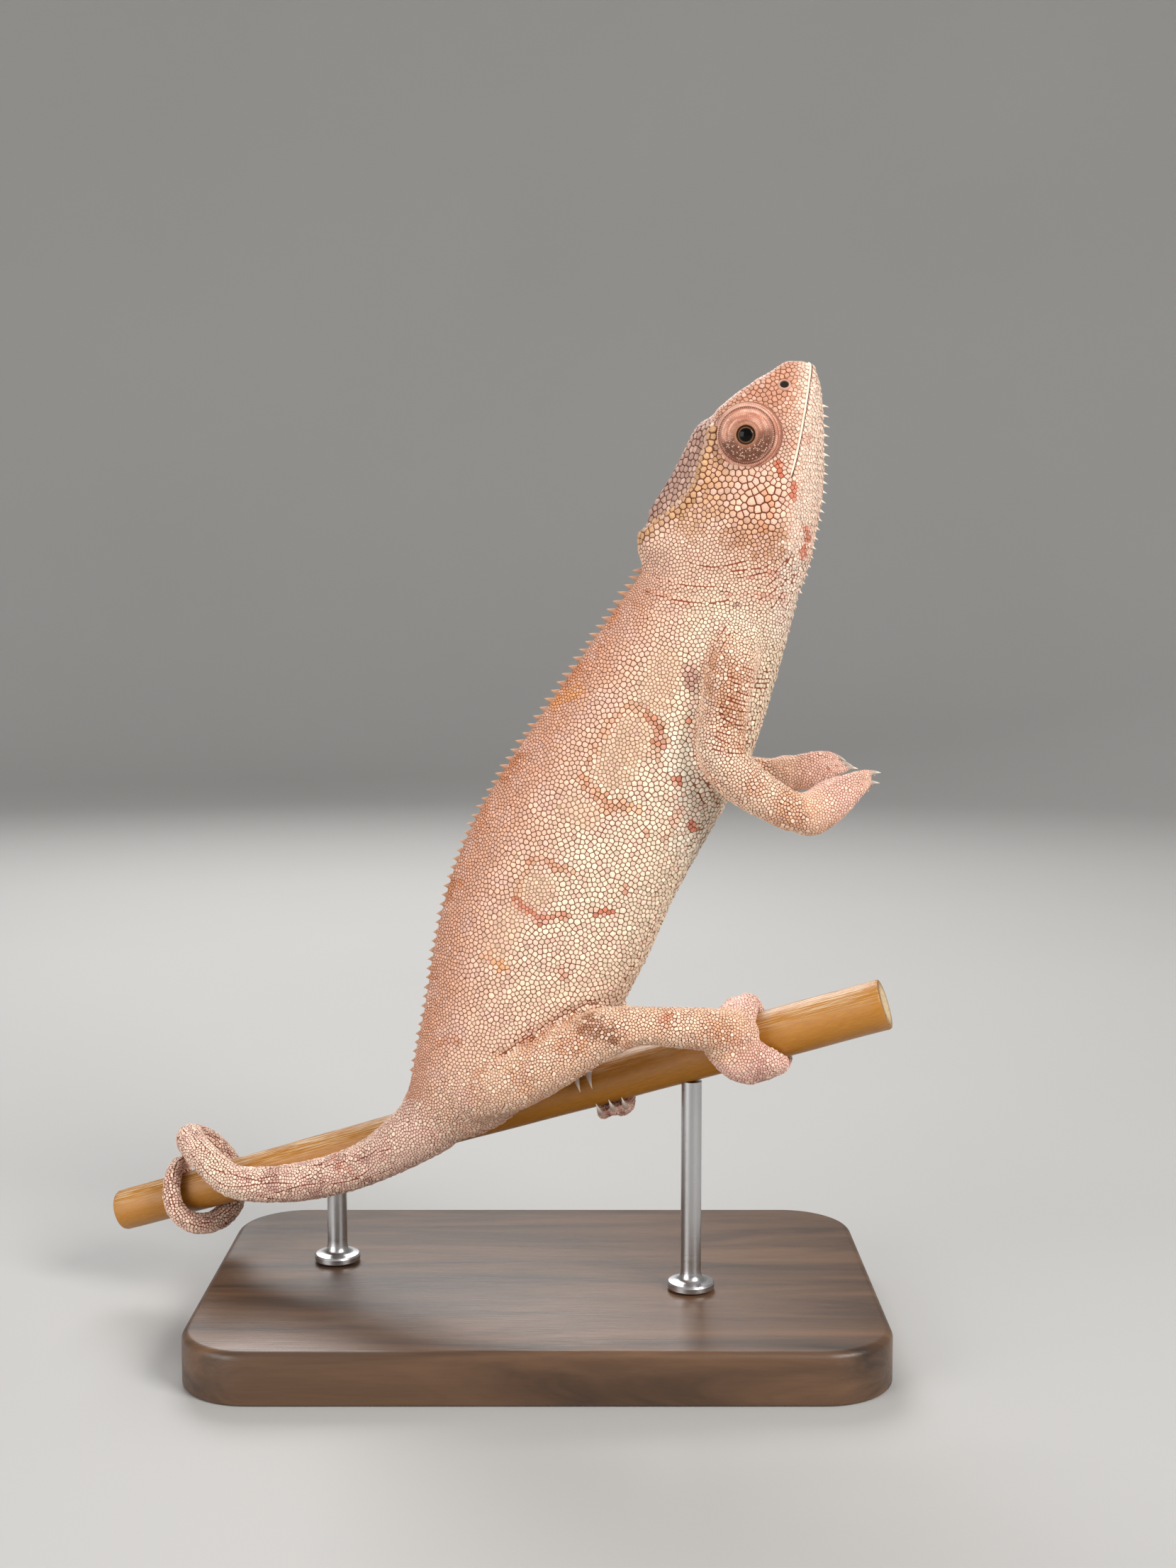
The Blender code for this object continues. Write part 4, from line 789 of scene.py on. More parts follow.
def scale_sizes(points, facts):
    """How far apart the scales stand at each vertex of the skin, in millimetres."""
    region, station, down = facts["region"], facts["station"], facts["down"]
    size = 0.90 - 0.30 * (1 - step(down, 0.0, 0.25)) - 0.12 * step(down, 0.8, 1.0)
    size = size * (1 - 0.25 * step(station, 9.5, 11.5)) * (1 - 0.30 * (1 - step(station, 0.5, 4.5)))
    size = np.where(region == 1, HEAD_SIZE, size)
    for wide, reach, line in MARK_SIZES:
        far = from_line(facts["pixel"], line)
        size = size + (wide - size) * (1 - step(far, 0.5 * reach, reach)) * (region < 2)
    for kind, wide in LIMB_SIZES.items():
        size = np.where((region > 1) & np.isin(region, kinds(kind)), wide, size)
    return size * (0.62 + 0.38 * step(from_claws(points), 1.5, 4.5))


def from_claws(points):
    """How far each point is from the nearest claw's root."""
    tips = tree_of([root for root, *_ in claw_places()])
    return np.array([tips.find(point)[2] for point in points])


def scatter(points, quads, sizes, rng):
    """Many candidate places over the skin, about as many for each scale everywhere, and the
    vertex of the skin that each is next to."""
    a, b, c, d = (points[quads[:, k]] for k in range(4))
    area = 0.5 * np.linalg.norm(np.cross(c - a, d - b), axis=1)
    wanted = CANDIDATES * area / (0.866 * sizes[quads[:, 0]] ** 2)
    number = np.floor(wanted + rng.random(len(quads))).astype(int)
    face = np.repeat(np.arange(len(quads)), number)
    u, v = rng.random((2, len(face), 1))
    a, b, c, d = (corner[face] for corner in (a, b, c, d))
    return a * (1 - u) * (1 - v) + b * u * (1 - v) + c * u * v + d * (1 - u) * v, quads[face, 0]


def tree_of(places):
    """A search tree of places."""
    tree = KDTree(len(places))
    for k, place in enumerate(places):
        tree.insert(place, k)
    tree.balance()
    return tree


def sow(places, sizes, start):
    """The numbers of places that are spread so that no two are closer than their size asks for."""
    tree = tree_of(places)
    blocked = bytearray(len(places))
    for place, reach in start:
        for _, k, _ in tree.find_range(place, reach):
            blocked[k] = 1
    chosen = []
    for k, place in enumerate(places):
        if not blocked[k]:
            chosen.append(k)
            for _, near, _ in tree.find_range(place, CLOSEST * sizes[k]):
                blocked[near] = 1
    return np.array(chosen)


def near_ones(places, count):
    """The numbers of the nearest other places of each place."""
    tree = tree_of(places)
    return np.array([[k for _, k, _ in tree.find_n(place, count + 1)][1:] for place in places])


def spread(places, sizes, free, skin_points, skin_normals):
    """Moves the free places apart over the skin until they stand evenly."""
    tree = tree_of(skin_points)
    for turn in range(SPREAD_ROUNDS):
        if turn % 4 == 0:
            near = near_ones(places, 8)
            want = WANTED * (sizes[:, None] + sizes[near])
        gap = places[:, None] - places[near]
        far = np.linalg.norm(gap, axis=2)
        push = np.clip(want - far, 0, None) / np.maximum(far, 1e-6)
        places += PUSH * free[:, None] * (gap * push[:, :, None]).sum(1)
        if turn % 2 == 1:
            found = np.array([tree.find(place)[1] for place in places])
            normal = skin_normals[found]
            places -= normal * ((places - skin_points[found]) * normal).sum(1)[:, None]
    return places, np.array([tree.find(place)[1] for place in places])


def scale_pattern(sides, shoulder):
    """One scale made of rings: a sunk root, a wall, perhaps a shoulder, and a top. Gives each
    vertex's ring and the corner it stands at, and the faces."""
    work = bmesh.new()
    bmesh.ops.create_cone(work, cap_ends=True, segments=sides, radius1=1, radius2=1, depth=2)
    top = max(work.faces, key=lambda face: face.calc_center_median().z)
    if shoulder:
        bmesh.ops.inset_individual(work, faces=[top], thickness=0.4)
    bmesh.ops.poke(work, faces=[top])
    ring, corner = [], []
    for vert in work.verts:
        reach = math.hypot(vert.co.x, vert.co.y)
        ring.append(3 if reach < 0.1 else 2 if reach < 0.9 else 1 if vert.co.z > 0 else 0)
        corner.append(round((math.atan2(vert.co.y, vert.co.x) / TURN - 0.25) * sides) % sides)
    work.verts.index_update()
    faces = [[v.index for v in face.verts] for face in work.faces]
    work.free()
    return np.array(ring), np.array(corner), faces


def cell_corners(seeds, chosen, sides):
    """Each scale's corners, as the turn and the reach at which it meets its neighbours. The
    turn is cut into as many parts as there are sides, and each part gives its furthest place."""
    near, size = seeds["near"][chosen], seeds["sizes"][chosen]
    gap = seeds["places"][near] - seeds["places"][chosen][:, None]
    far = np.linalg.norm(gap, axis=2)
    across = np.stack([(gap * seeds[way][chosen][:, None]).sum(2) for way in ("side", "up")], 2)
    across *= (far / np.maximum(np.linalg.norm(across, axis=2), 1e-6))[:, :, None]
    share = size[:, None] / (size[:, None] + seeds["sizes"][near])
    steps = 5 * sides
    turns = TURN * np.arange(steps) / steps
    ways = np.stack([np.cos(turns), np.sin(turns)], 1)
    reach = (share * far ** 2)[:, :, None] / np.maximum(across @ ways.T, 1e-6)
    reach = np.minimum(reach.min(1), (seeds["most"] * size)[:, None])
    first = (reach.argmax(1)[:, None] - 2 + np.arange(steps)) % steps
    parts = np.take_along_axis(reach, first, 1).reshape(-1, sides, 5)
    best = parts.argmax(2)
    found = np.take_along_axis(first.reshape(-1, sides, 5), best[:, :, None], 2)[:, :, 0]
    return turns[found], parts.max(2)


def lay_scales(name, seeds, chosen, sides, material):
    """One piece of the coat: a solid scale on each chosen seed."""
    ring, corner, faces = scale_pattern(sides, sides >= PLATE_SIDES)
    shoulder, wall, share = PLATED if sides >= PLATE_SIDES else PLAIN
    turns, reach = cell_corners(seeds, chosen, sides)
    place, normal, side, up, size, height, tone, groove = (seeds[key][chosen] for key in (
        "places", "normals", "side", "up", "sizes", "heights", "colours", "grooves"))
    edge = np.maximum(reach - (SCALE_GAP[0] * size + SCALE_GAP[1])[:, None], 0.05)
    rings = np.stack([edge, 0.96 * edge, shoulder * edge, 0 * edge], 1)
    rises = np.stack([0 * height - ROOT_DEPTH, wall * height, 0.95 * height, height], 1)
    turned = turns[:, corner]
    out = rings[:, ring, corner]
    way = side[:, None] * np.cos(turned)[:, :, None] + up[:, None] * np.sin(turned)[:, :, None]
    co = place[:, None] + out[:, :, None] * way + rises[:, ring][:, :, None] * normal[:, None]
    # Painted shade and highlight: the root takes the groove's tone, the wall is painted darker towards it,
    # and the middle of the top is a touch lighter.
    shade = np.stack([groove, groove + (0.95 - groove) * share, 0 * groove + 1.0, 0 * groove + 1.03], 1)
    mesh = tiled_mesh(name, co, faces)
    paint(mesh, (tone[:, None] * shade[:, ring]).reshape(-1, 3))
    spot = 0.0015 * np.array([1, 1, 0.7, 0])[ring]
    patch = np.stack([np.cos(turned), np.sin(turned)], 2) * spot[:, None]
    each = (seeds["uv"][chosen][:, None] + patch)[:, np.concatenate(faces)]
    mesh.uv_layers.new(name="OFBake").data.foreach_set("uv", each.astype(np.float32).ravel())
    dressed(mesh_object(name, mesh, material), "skin")


def tiled_mesh(name, places, faces):
    """A mesh that repeats one pattern of faces for every row of places."""
    copies, corners = places.shape[:2]
    loops = np.concatenate(faces)
    starts = np.cumsum([0] + [len(face) for face in faces[:-1]])
    shift = np.arange(copies)[:, None]
    mesh = bpy.data.meshes.new(name)
    mesh.vertices.add(copies * corners)
    mesh.loops.add(copies * len(loops))
    mesh.polygons.add(copies * len(faces))
    mesh.vertices.foreach_set("co", to_metres(places))
    mesh.loops.foreach_set("vertex_index", (loops[None] + shift * corners).astype(np.int32).ravel())
    mesh.polygons.foreach_set("loop_start", (starts[None] + shift * len(loops)).astype(np.int32).ravel())
    mesh.update(calc_edges=True)
    mesh.validate()
    mesh.shade_smooth()
    mesh.set_sharp_from_angle(angle=math.radians(50))
    return mesh


def sown_scales(points, quads, normals, facts, fixed, bare, rng):
    """Where the scales stand, how wide they are, the vertex of the skin at each, and which of
    those on the limbs are knobs."""
    sizes = scale_sizes(points, facts)
    options, beside = scatter(points, quads, sizes, rng)
    order = rng.permutation(len(options))
    options, beside = options[order], beside[order]
    start = [(place, 0.8 * max(size, 0.3)) for place, size in fixed] + bare
    chosen = sow(options, sizes[beside], start)
    beside = beside[chosen]
    region = facts["region"][beside]
    limb = region > 1
    share = np.select([region == 2, np.isin(region, kinds("hand")), limb], [0.26, 0.04, 0.17], 0.03)
    big = rng.random(len(chosen)) < share
    wide = sizes[beside] * np.exp(rng.normal(0, 0.10, len(chosen)))
    wide *= np.where(big, np.where(limb, 1.3, 1.15), 1.0)
    wide = np.concatenate([[size for _, size in fixed], wide])
    places = np.vstack([[place for place, _ in fixed], options[chosen]])
    places, found = spread(places, wide, np.arange(len(places)) >= len(fixed), points, normals)
    big = np.concatenate([np.zeros(len(fixed), bool), big & limb])
    keep = (from_claws(places) > TIP_REACH) | (np.linalg.norm(places - points[found], axis=1) < LOOSE)
    for place, reach in bare:
        keep &= np.linalg.norm(places - np.array(place), axis=1) > 0.9 * reach
    return places[keep], wide[keep], found[keep], big[keep]


def seeds_of(places, wide, region, normal, big, seams, rng):
    """What is needed to lay each scale, and the body's own measures there."""
    own = survey(places)
    own["region"] = region
    side = unit(own["way"] - normal * (own["way"] * normal).sum(1)[:, None])
    colours = mix(markings(places, own), PALE, 0.6 * big)
    colours = mix(colours, BLUSH, 0.6 * (rng.random(len(places)) < 0.14))
    colours *= np.exp(rng.normal(0, 0.08, len(places)))[:, None]
    low = (own["station"] - own["station"].min()) / np.ptp(own["station"])
    uv = np.where((region < 2)[:, None], np.stack([own["down"], low], 1),
                  np.stack([own["turn"], own["along"] / 135], 1))
    # Along creases and in the clefts between toes the grooves turn to WINE, partly painted shade.
    grooves = mix(groove_tones(own), WINE, 0.85 * seam_nearness(places, seams, own))
    return own, {"places": places, "sizes": wide, "near": near_ones(places, 12), "normals": normal,
                 "side": side, "up": np.cross(normal, side), "uv": np.clip(uv, 0.01, 0.99),
                 "heights": (0.04 + 0.15 * wide) * np.where(big, 1.4, 1.0), "colours": colours,
                 "grooves": grooves, "most": FURTHEST}


def make_coat(points, quads, normals, facts, fixed, bare, seams, material):
    """The whole coat: fixed rows first, then a spread of scales over the rest of the skin."""
    rng = np.random.default_rng(7)
    fixed = fixed + [(place, SEAM_SIZE) for place in seams]
    places, wide, found, big = sown_scales(points, quads, normals, facts, fixed, bare, rng)
    own, seeds = seeds_of(places, wide, facts["region"][found], normals[found], big, seams, rng)
    for number, name in enumerate(REGIONS):
        inside = (own["region"] == number) & (wide > SEAM_SIZE)
        if number > 1:
            lay_part(f"coat_{name}", seeds, inside, own["along"], 6, material)
            continue
        right = places[:, 1] < MIDDLE_PLANE
        for half, side in (("right", right), ("left", ~right)):
            for grade, low, high, sides in GRADES:
                these = inside & side & (wide >= low) & (wide < high)
                if these.any():
                    lay_part(f"coat_{name}_{half}_{grade}", seeds, these, own["station"], sides, material)


def lay_part(name, seeds, these, order, sides, material):
    """The scales of one part of the body, in as many pieces as their faces need."""
    these = np.flatnonzero(these)
    these = these[np.argsort(order[these], kind="stable")]
    each = (6 if sides >= PLATE_SIDES else 4) * sides - 2
    parts = max(1, math.ceil(len(these) * each / MOST_FACES))
    for part, group in enumerate(np.array_split(these, parts), 1):
        lay_scales(f"{name}_{part}" if parts > 1 else name, seeds, group, sides, material)


# Eyes.

def eye_frame(side):
    """Where the eye stands on this side (-1 right, 1 left), the way it looks, and two ways across."""
    at = np.array((EYE_BASE[0], MIDDLE_PLANE + side * EYE_OUT, EYE_BASE[1]))
    looks = np.array((EYE_LOOKS[0], -side * EYE_LOOKS[1], EYE_LOOKS[2]))
    looks = looks / np.linalg.norm(looks)
    across = np.cross(looks, (0, 0, 1))
    across /= np.linalg.norm(across)
    return at, looks, across, np.cross(across, looks)


def spun(name, profile, centre, axis, across, steps, material):
    """A shape turned round an axis from (radius, height) pairs, with the bmesh spin operator."""
    work = bmesh.new()
    axis, across = Vector(axis), Vector(across)
    verts = [work.verts.new(centre + axis * h * MM + across * r * MM) for r, h in profile]
    edges = [work.edges.new(pair) for pair in zip(verts[:-1], verts[1:])]
    bmesh.ops.spin(work, geom=verts + edges, cent=centre, axis=axis, angle=TURN, steps=steps,
                   use_merge=True)
    bmesh.ops.remove_doubles(work, verts=work.verts, dist=1e-7)
    bmesh.ops.holes_fill(work, edges=[e for e in work.edges if e.is_boundary])
    return from_bmesh(name, work, material)


def turret_profile():
    """The turret's profile with its rings of wrinkles, and how far along it each row is."""
    rows = smooth_rows(TURRET, 12)
    length = np.concatenate([[0], np.cumsum(np.linalg.norm(np.diff(rows, axis=0), axis=1))])
    way = np.gradient(rows, axis=0)
    out = unit(np.stack([way[:, 1], -way[:, 0]], 1))
    out *= np.where(out[:, :1] * rows[:, :1] + out[:, 1:] < 0, -1, 1)
    rise = 0.035 * np.cos(length * TURN / 0.66 + 1.5 * np.sin(length)) * step(length, 3.0, 4.0)
    for depth, place, width in LID_GROOVES:
        rise -= depth * np.exp(-((length - place) / width) ** 2)
    return rows + out * rise[:, None], length


def granule_rings(side, rows, length):
    """Granules in rings round a turret: their places, normals, ways round it and sizes."""
    at, looks, across, up = eye_frame(side)
    rng = random.Random(3)
    found = []
    reach = 2.7
    while reach < length[-1] - 1.5:
        radius, height = (np.interp(reach, length, rows[:, k]) for k in (0, 1))
        if abs(radius - LINE_REACH) < 0.16:
            reach += 0.12
            continue
        wider = np.interp(reach + 0.05, length, rows[:, 0]) - radius
        higher = np.interp(reach + 0.05, length, rows[:, 1]) - height
        count = round(TURN * radius / GRANULE)
        first = rng.random()
        for k in range(count):
            turn = TURN * (k + first) / count
            out = across * math.cos(turn) + up * math.sin(turn)
            around = up * math.cos(turn) - across * math.sin(turn)
            normal = np.cross(around, out * wider + looks * higher)
            normal /= np.linalg.norm(normal)
            normal *= np.sign(normal @ (out + looks))
            found.append((at + out * radius + looks * height, normal, around,
                          GRANULE * math.exp(rng.gauss(0, 0.08))))
        reach += 0.33
    return [np.array(column) for column in zip(*found)]


def make_turret(name, side, material, granules):
    """The cone of lids round an eye, with rings of small granules."""
    at, looks, across, up = eye_frame(side)
    rows, length = turret_profile()
    turret = spun(name, rows, row_point(*at), looks, across, 96, material)
    dressed(turret, "skin", name.replace("lids", "eye_turret"))
    paint(turret.data, turret_colours(places_of(turret.data), side) * LID_SHADE)
    places, normals, around, sizes = granule_rings(side, rows, length)
    rng = np.random.default_rng(5)
    right, high = (places - at) @ across, (places - at) @ up
    grains = step(-high, -0.5, 2.0) * (np.hypot(high, right) < 4.8) * (rng.random(len(places)) < 0.32)
    colours = mix(turret_colours(places, side), LID_GRAIN, 0.8 * grains)
    colours *= np.exp(rng.normal(0, 0.06, len(places)))[:, None]
    seeds = {"places": places, "sizes": sizes, "near": near_ones(places, 8), "normals": normals,
             "side": around, "up": np.cross(normals, around), "uv": 0.5 + np.stack([right, high], 1) / 14,
             "heights": 0.03 + 0.06 * step(-high, -2.5, 2.5), "colours": colours,
             "grooves": np.tile(GRANULE_GROOVE, (len(places), 1)), "most": 0.7}
    lay_scales(name.replace("lids", "lid_granules"), seeds, np.arange(len(places)), 5, granules)


def turret_colours(places, side):
    """Reddish pink above, brown with pale grains below, the brown partly painted shade, and a dark line
    round the opening.
    """
    at, _, across, up = eye_frame(side)
    right, high = (places - at) @ across, (places - at) @ up
    reach = np.hypot(right, high)
    low = 0.9 * mottle(places, 2.0, 6) + 0.6 * mottle(places, 0.8, 9) - high - 0.22 * right
    rings = mottle(np.stack([reach * 2.6, np.arctan2(high, right) * 1.2, 0 * reach], 1), 1.0, 5)
    colours = mix(LID, LID_DARK, 0.7 * step(rings, -0.05, 0.3))
    colours = mix(colours, LID_PALE, 0.5 * (1 - step(rings, -0.4, -0.1)))
    # The lower half's brown: partly the lids' own colour, partly painted shade.
    colours = mix(colours, LID_BROWN, 0.94 * step(low, -1.4, 1.3) * (1 - step(reach, 4.5, 5.0)))
    colours = mix(colours, LID_LINE, 0.95 * np.exp(-((reach - LINE_REACH) / 0.18) ** 2))
    colours = mix(colours, LID_EDGE, 0.8 * step(reach, 5.85, 6.15))
    colours = mix(colours, LID_RING, 0.8 * np.exp(-((reach - 2.5) / 0.16) ** 2))
    colours = mix(colours, LID_RIM, 0.8 * (1 - step(reach, 2.25, 2.45)))
    colours = mix(colours, LID_INSIDE, 1 - step(reach, 1.72, 1.86))
    return colours * (1 + 0.10 * mottle(places, 1.2, 4))[:, None]


def make_eye(name, side, material):
    """The ball of the eye with its pupil and iris, a glossy bulge in the opening of the lids."""
    at, looks, across, up = eye_frame(side)
    middle = at + looks * BALL_HEIGHT
    turn = Matrix((across, up, looks)).transposed().to_4x4()
    work = bmesh.new()
    bmesh.ops.create_uvsphere(work, u_segments=48, v_segments=64, radius=BALL_RADIUS * MM,
                              matrix=Matrix.Translation(row_point(*middle)) @ turn)
    ball = from_bmesh(name, work, material)
    local = places_of(ball.data) - middle
    reach = np.hypot(local @ across, local @ up)
    iris = step(reach, PUPIL, PUPIL + 0.1) * (1 - step(reach, IRIS, IRIS + 0.1))
    pupil = (local @ looks > 0) * (1 - step(reach, PUPIL - 0.08, PUPIL + 0.06))
    paint(ball.data, mix(mix(BALL_TONE, IRIS_TONE, iris), PUPIL_TONE, pupil))
    dressed(ball, "eye", name.replace("eye", "eyeball"))


# Crests, claws, lips and nostrils.

def horn_pattern(sides, cuts=4):
    """A straight cone of length one and root radius one: its places and faces."""
    work = bmesh.new()
    bmesh.ops.create_cone(work, cap_ends=True, segments=sides, radius1=1, radius2=0.1, depth=1,
                          matrix=Matrix.Translation((0, 0, 0.5)))
    upright = [e for e in work.edges if abs(e.verts[0].co.z - e.verts[1].co.z) > 0.5]
    bmesh.ops.subdivide_edges(work, edges=upright, cuts=cuts)
    work.verts.index_update()
    places = np.array([v.co for v in work.verts])
    faces = [[v.index for v in face.verts] for face in work.faces]
    work.free()
    return places, faces


def make_horns(name, horns, colours, power, material, sides=10):
    """One piece of curved horns from (root, out, lean, length, width, bend) in millimetres."""
    places, faces = horn_pattern(sides)
    t = places[:, 2]
    round_up = np.maximum(1 - t ** power, 0.07) / (1 - 0.9 * t)
    found = []
    for root, out, lean, length, width, bend in horns:
        out = np.array(out) / np.linalg.norm(out)
        lean = np.array(lean) - out * np.dot(lean, out)
        lean /= np.linalg.norm(lean)
        wide = width * round_up
        across = np.cross(out, lean)
        found.append(np.array(root) + np.outer(length * t, out) + np.outer(bend * length * t * t, lean)
                     + np.outer(places[:, 0] * wide, lean) + np.outer(places[:, 1] * wide, across))
    mesh = tiled_mesh(name, np.array(found), faces)
    low, high, start, end = colours
    paint(mesh, np.tile(mix(low, high, step(t, start, end)), (len(found), 1)))
    dressed(mesh_object(name, mesh, material), "skin")


def make_crest(name, crest, colours, material):
    """A row of small cones along the back or under the throat."""
    slices = smooth_rows(SLICES, 4)
    edge, station = crest["edge"], crest["from"]
    rng = random.Random(edge + 11)
    horns = []
    while station < crest["to"]:
        k = int(station * 4)
        here, ahead = slices[k], slices[k + 1]
        root = here[edge:edge + 2] + (ahead - here)[edge:edge + 2] * (station * 4 - k)
        other = here[2 - edge:4 - edge]
        along = ahead[edge:edge + 2] - here[edge:edge + 2]
        gap = np.linalg.norm(along)
        along = Vector((along[0], 0, along[1])).normalized()
        out = Vector((root[0] - other[0], 0, root[1] - other[1]))
        out = (out - along * out.dot(along)).normalized()
        share = (station - crest["from"]) / (crest["to"] - crest["from"])
        low, high = crest["heights"]
        height = (low + (high - low) * share) * rng.uniform(0.8, 1.15) + SPINE_SINK
        base = Vector((root[0], MIDDLE_PLANE + rng.uniform(-0.08, 0.08), root[1])) - out * SPINE_SINK
        horns.append((base, out, -along, height, crest["width"] * rng.uniform(0.9, 1.1), 0.25))
        station += crest["pitch"] * rng.uniform(0.92, 1.08) / (gap * 4)
    make_horns(name, horns, colours, 1.1, material)


def claw_places():
    """Each claw's root, the way it points, the way it bends, how far, and its length."""
    found = []
    for inner, end in CANE_CLAWS:
        a, b = round_cane(*inner), round_cane(*end)
        at, out = Vector(b[:3]), (Vector(b[:3]) - Vector(a[:3])).normalized()
        station = end[0]
        inward = (CANE_POINT + CANE_AXIS * station - at).normalized()
        found.append((at + out * b[3] * 0.9 - inward * 0.1, out, inward, 0.5, CLAW_LENGTH))
    for a, b in FREE_CLAWS:
        at, out = Vector(b[:3]), (Vector(b[:3]) - Vector(a)).normalized()
        found.append((at + out * b[3] * 0.9, out, -UP, 0.35, FREE_LENGTH))
    return found


def make_claws(material):
    """The claws, their roots sunk into the ends of the toes."""
    horns = [(root - out * CLAW_SINK, out, lean, length + CLAW_SINK, CLAW_WIDTH, bend)
             for root, out, lean, bend, length in claw_places()]
    make_horns("claws", horns, (CLAW, CLAW_TIP, 0.45, 0.9), 1.4, material, 12)


def mouth_path(surface, to_chin, lift):
    """The mouth's line from corner to corner, moved towards the chin and lifted off the skin."""
    line = smooth_rows(MOUTH, 6)
    way = unit(np.gradient(line, axis=0))
    right = []
    for x, z in line + np.stack([-way[:, 1], way[:, 0]], 1) * to_chin:
        hit, normal, _, _ = surface.ray_cast(Vector((x, MIDDLE_PLANE - 20, z)), Vector((0, 1, 0)))
        if hit is not None:
            right.append(hit + normal * lift)
    return [Vector(mirrored(place)) for place in right[::-1]] + right


def tube_along(work, path, radius, sides=8):
    """Adds a tube along a path of points in millimetres, by extruding a ring from end to end."""
    at = [row_point(*place) for place in path]
    for k, here in enumerate(at):
        along = (at[min(k + 1, len(at) - 1)] - at[max(k - 1, 0)]).normalized()
        width = radius * MM * min(1.0, 0.35 + 0.25 * min(k, len(at) - 1 - k))
        if k == 0:
            side = along.orthogonal().normalized()
            turn = Matrix((side, along.cross(side), along)).transposed().to_4x4()
            ring = bmesh.ops.create_circle(work, cap_ends=True, segments=sides, radius=width,
                                           matrix=Matrix.Translation(here) @ turn)["verts"]
            edges = list(ring[0].link_faces[0].edges)
            continue
        grown = bmesh.ops.extrude_edge_only(work, edges=edges)["geom"]
        edges = [g for g in grown if isinstance(g, bmesh.types.BMEdge)]
        for vert in (g for g in grown if isinstance(g, bmesh.types.BMVert)):
            old = vert.co - at[k - 1]
            vert.co = here + (old - along * old.dot(along)).normalized() * width
    bmesh.ops.contextual_create(work, geom=edges)


def make_lips(surface, pale, dark):
    """The pale edge of the upper lip, and under it the dark line of the mouth, painted shade in its slit.
    """
    for name, to_chin, lift, radius, tone, material in (
            ("upper_lip", -0.08, 0.20, 0.22, LIP, pale), ("mouth_line", 0.20, 0.14, 0.10, UMBER, dark)):
        work = bmesh.new()
        tube_along(work, mouth_path(surface, to_chin, lift), radius)
        lip = from_bmesh(name, work, material)
        paint(lip.data, tone)
        dressed(lip, "skin")


def lip_rows(surface):
    """Fixed places of the two rows of scales along the mouth."""
    fixed = []
    for to_chin, size in ((-0.62, 0.78), (0.72, 0.72)):
        points = [np.array(place) for place in mouth_path(surface, to_chin, 0.0)]
        travelled = 0.0
        for a, b in zip(points[:-1], points[1:]):
            travelled += np.linalg.norm(b - a)
            if travelled >= size:
                fixed.append((tuple(b), size))
                travelled = 0.0
    return fixed


def tail_creases():
    """Points of broken creases that run along the tail."""
    rows = body_axes()["tail"]
    found = []
    for line in range(TAIL_CREASES):
        done = 0.0
        for a, b in zip(rows[:-1], rows[1:]):
            ahead = Vector(b[:3] - a[:3])
            side = ahead.normalized().cross(Vector(SIDE_GUIDE))
            up = side.cross(ahead.normalized())
            for share in np.arange(0.0, 1.0, 0.4 / ahead.length).tolist():
                at = done + ahead.length * share
                turn = TURN * line / TAIL_CREASES + 0.2 * math.sin(at / 3.5 + 2.1 * line)
                if at > 14 and noise.noise(Vector((at / 2.4, line * 3.7, 0.5))) > 0.05:
                    reach = float(a[3] + (b[3] - a[3]) * share)
                    out = side * math.cos(turn) + up * math.sin(turn)
                    found.append(tuple(Vector(a[:3]) + ahead * share + reach * out))
            done += ahead.length
    return found


def seam_points(surface):
    """Points along the creases; those of the body also on its left side."""
    found = tail_creases()
    for lines, both in ((BODY_SEAMS, True), (LIMB_SEAMS, False)):
        for line in lines:
            longest = max(math.dist(a, b) for a, b in zip(line[:-1], line[1:]))
            for pixel in smooth_rows(line, math.ceil(longest / SEAM_STEP)):
                hit = photo_point(surface, pixel)
                if hit is not None and noise.noise(hit / 1.6) > SEAM_BREAK:
                    found.append(tuple(hit))
                    if both:
                        found.append(mirrored(hit))
    return found


def seam_nearness(places, seams, facts):
    """1 at a crease, falling to 0 well away from one, and less on the tail."""
    tree = tree_of(seams)
    near = np.array([math.exp(-(tree.find(place)[2] / 0.42) ** 2) for place in places])
    return np.maximum(near * np.where(facts["region"] == 2, 0.6, 0.7), 0.4 * toe_clefts(places))


def casque_row(surface):
    """Fixed places of the bead scales along the ridges of the casque."""
    fixed = []
    last = None
    for pixel in smooth_rows(CASQUE_RIDGE, 12):
        hit = photo_point(surface, pixel)
        if hit is not None and (last is None or (hit - last).length > BEAD):
            fixed += [(tuple(hit), BEAD), (mirrored(hit), BEAD)]
            last = hit
    return fixed


def make_nostrils(surface, material):
    """A small rimmed pit on each side of the snout; gives the places that it takes up."""
    start = Vector((NOSTRIL[0], MIDDLE_PLANE - 20, NOSTRIL[1]))
    hit, normal, _, _ = surface.ray_cast(start, Vector((0, 1, 0)))
    places = []
    for side, name in ((1, "right_nostril"), (-1, "left_nostril")):
        at = Vector((hit.x, MIDDLE_PLANE + side * (hit.y - MIDDLE_PLANE), hit.z))
        out = Vector((normal.x, side * normal.y, normal.z)).normalized()
        across = out.orthogonal().normalized()
        rim = spun(name, smooth_rows(NOSTRIL_RIM, 3), row_point(*at), out, across, 24, material)
        local = places_of(rim.data) - np.array(at)
        reach = np.linalg.norm(local - np.outer(local @ np.array(out), np.array(out)), axis=1)
        # Painted shade: the nostril's hollow is near-black, its rim in its own colour.
        paint(rim.data, mix(PIT, RIM, step(reach, 0.72, 0.95)))
        dressed(rim, "skin")
        places.append((tuple(at), 1.35))
    return places


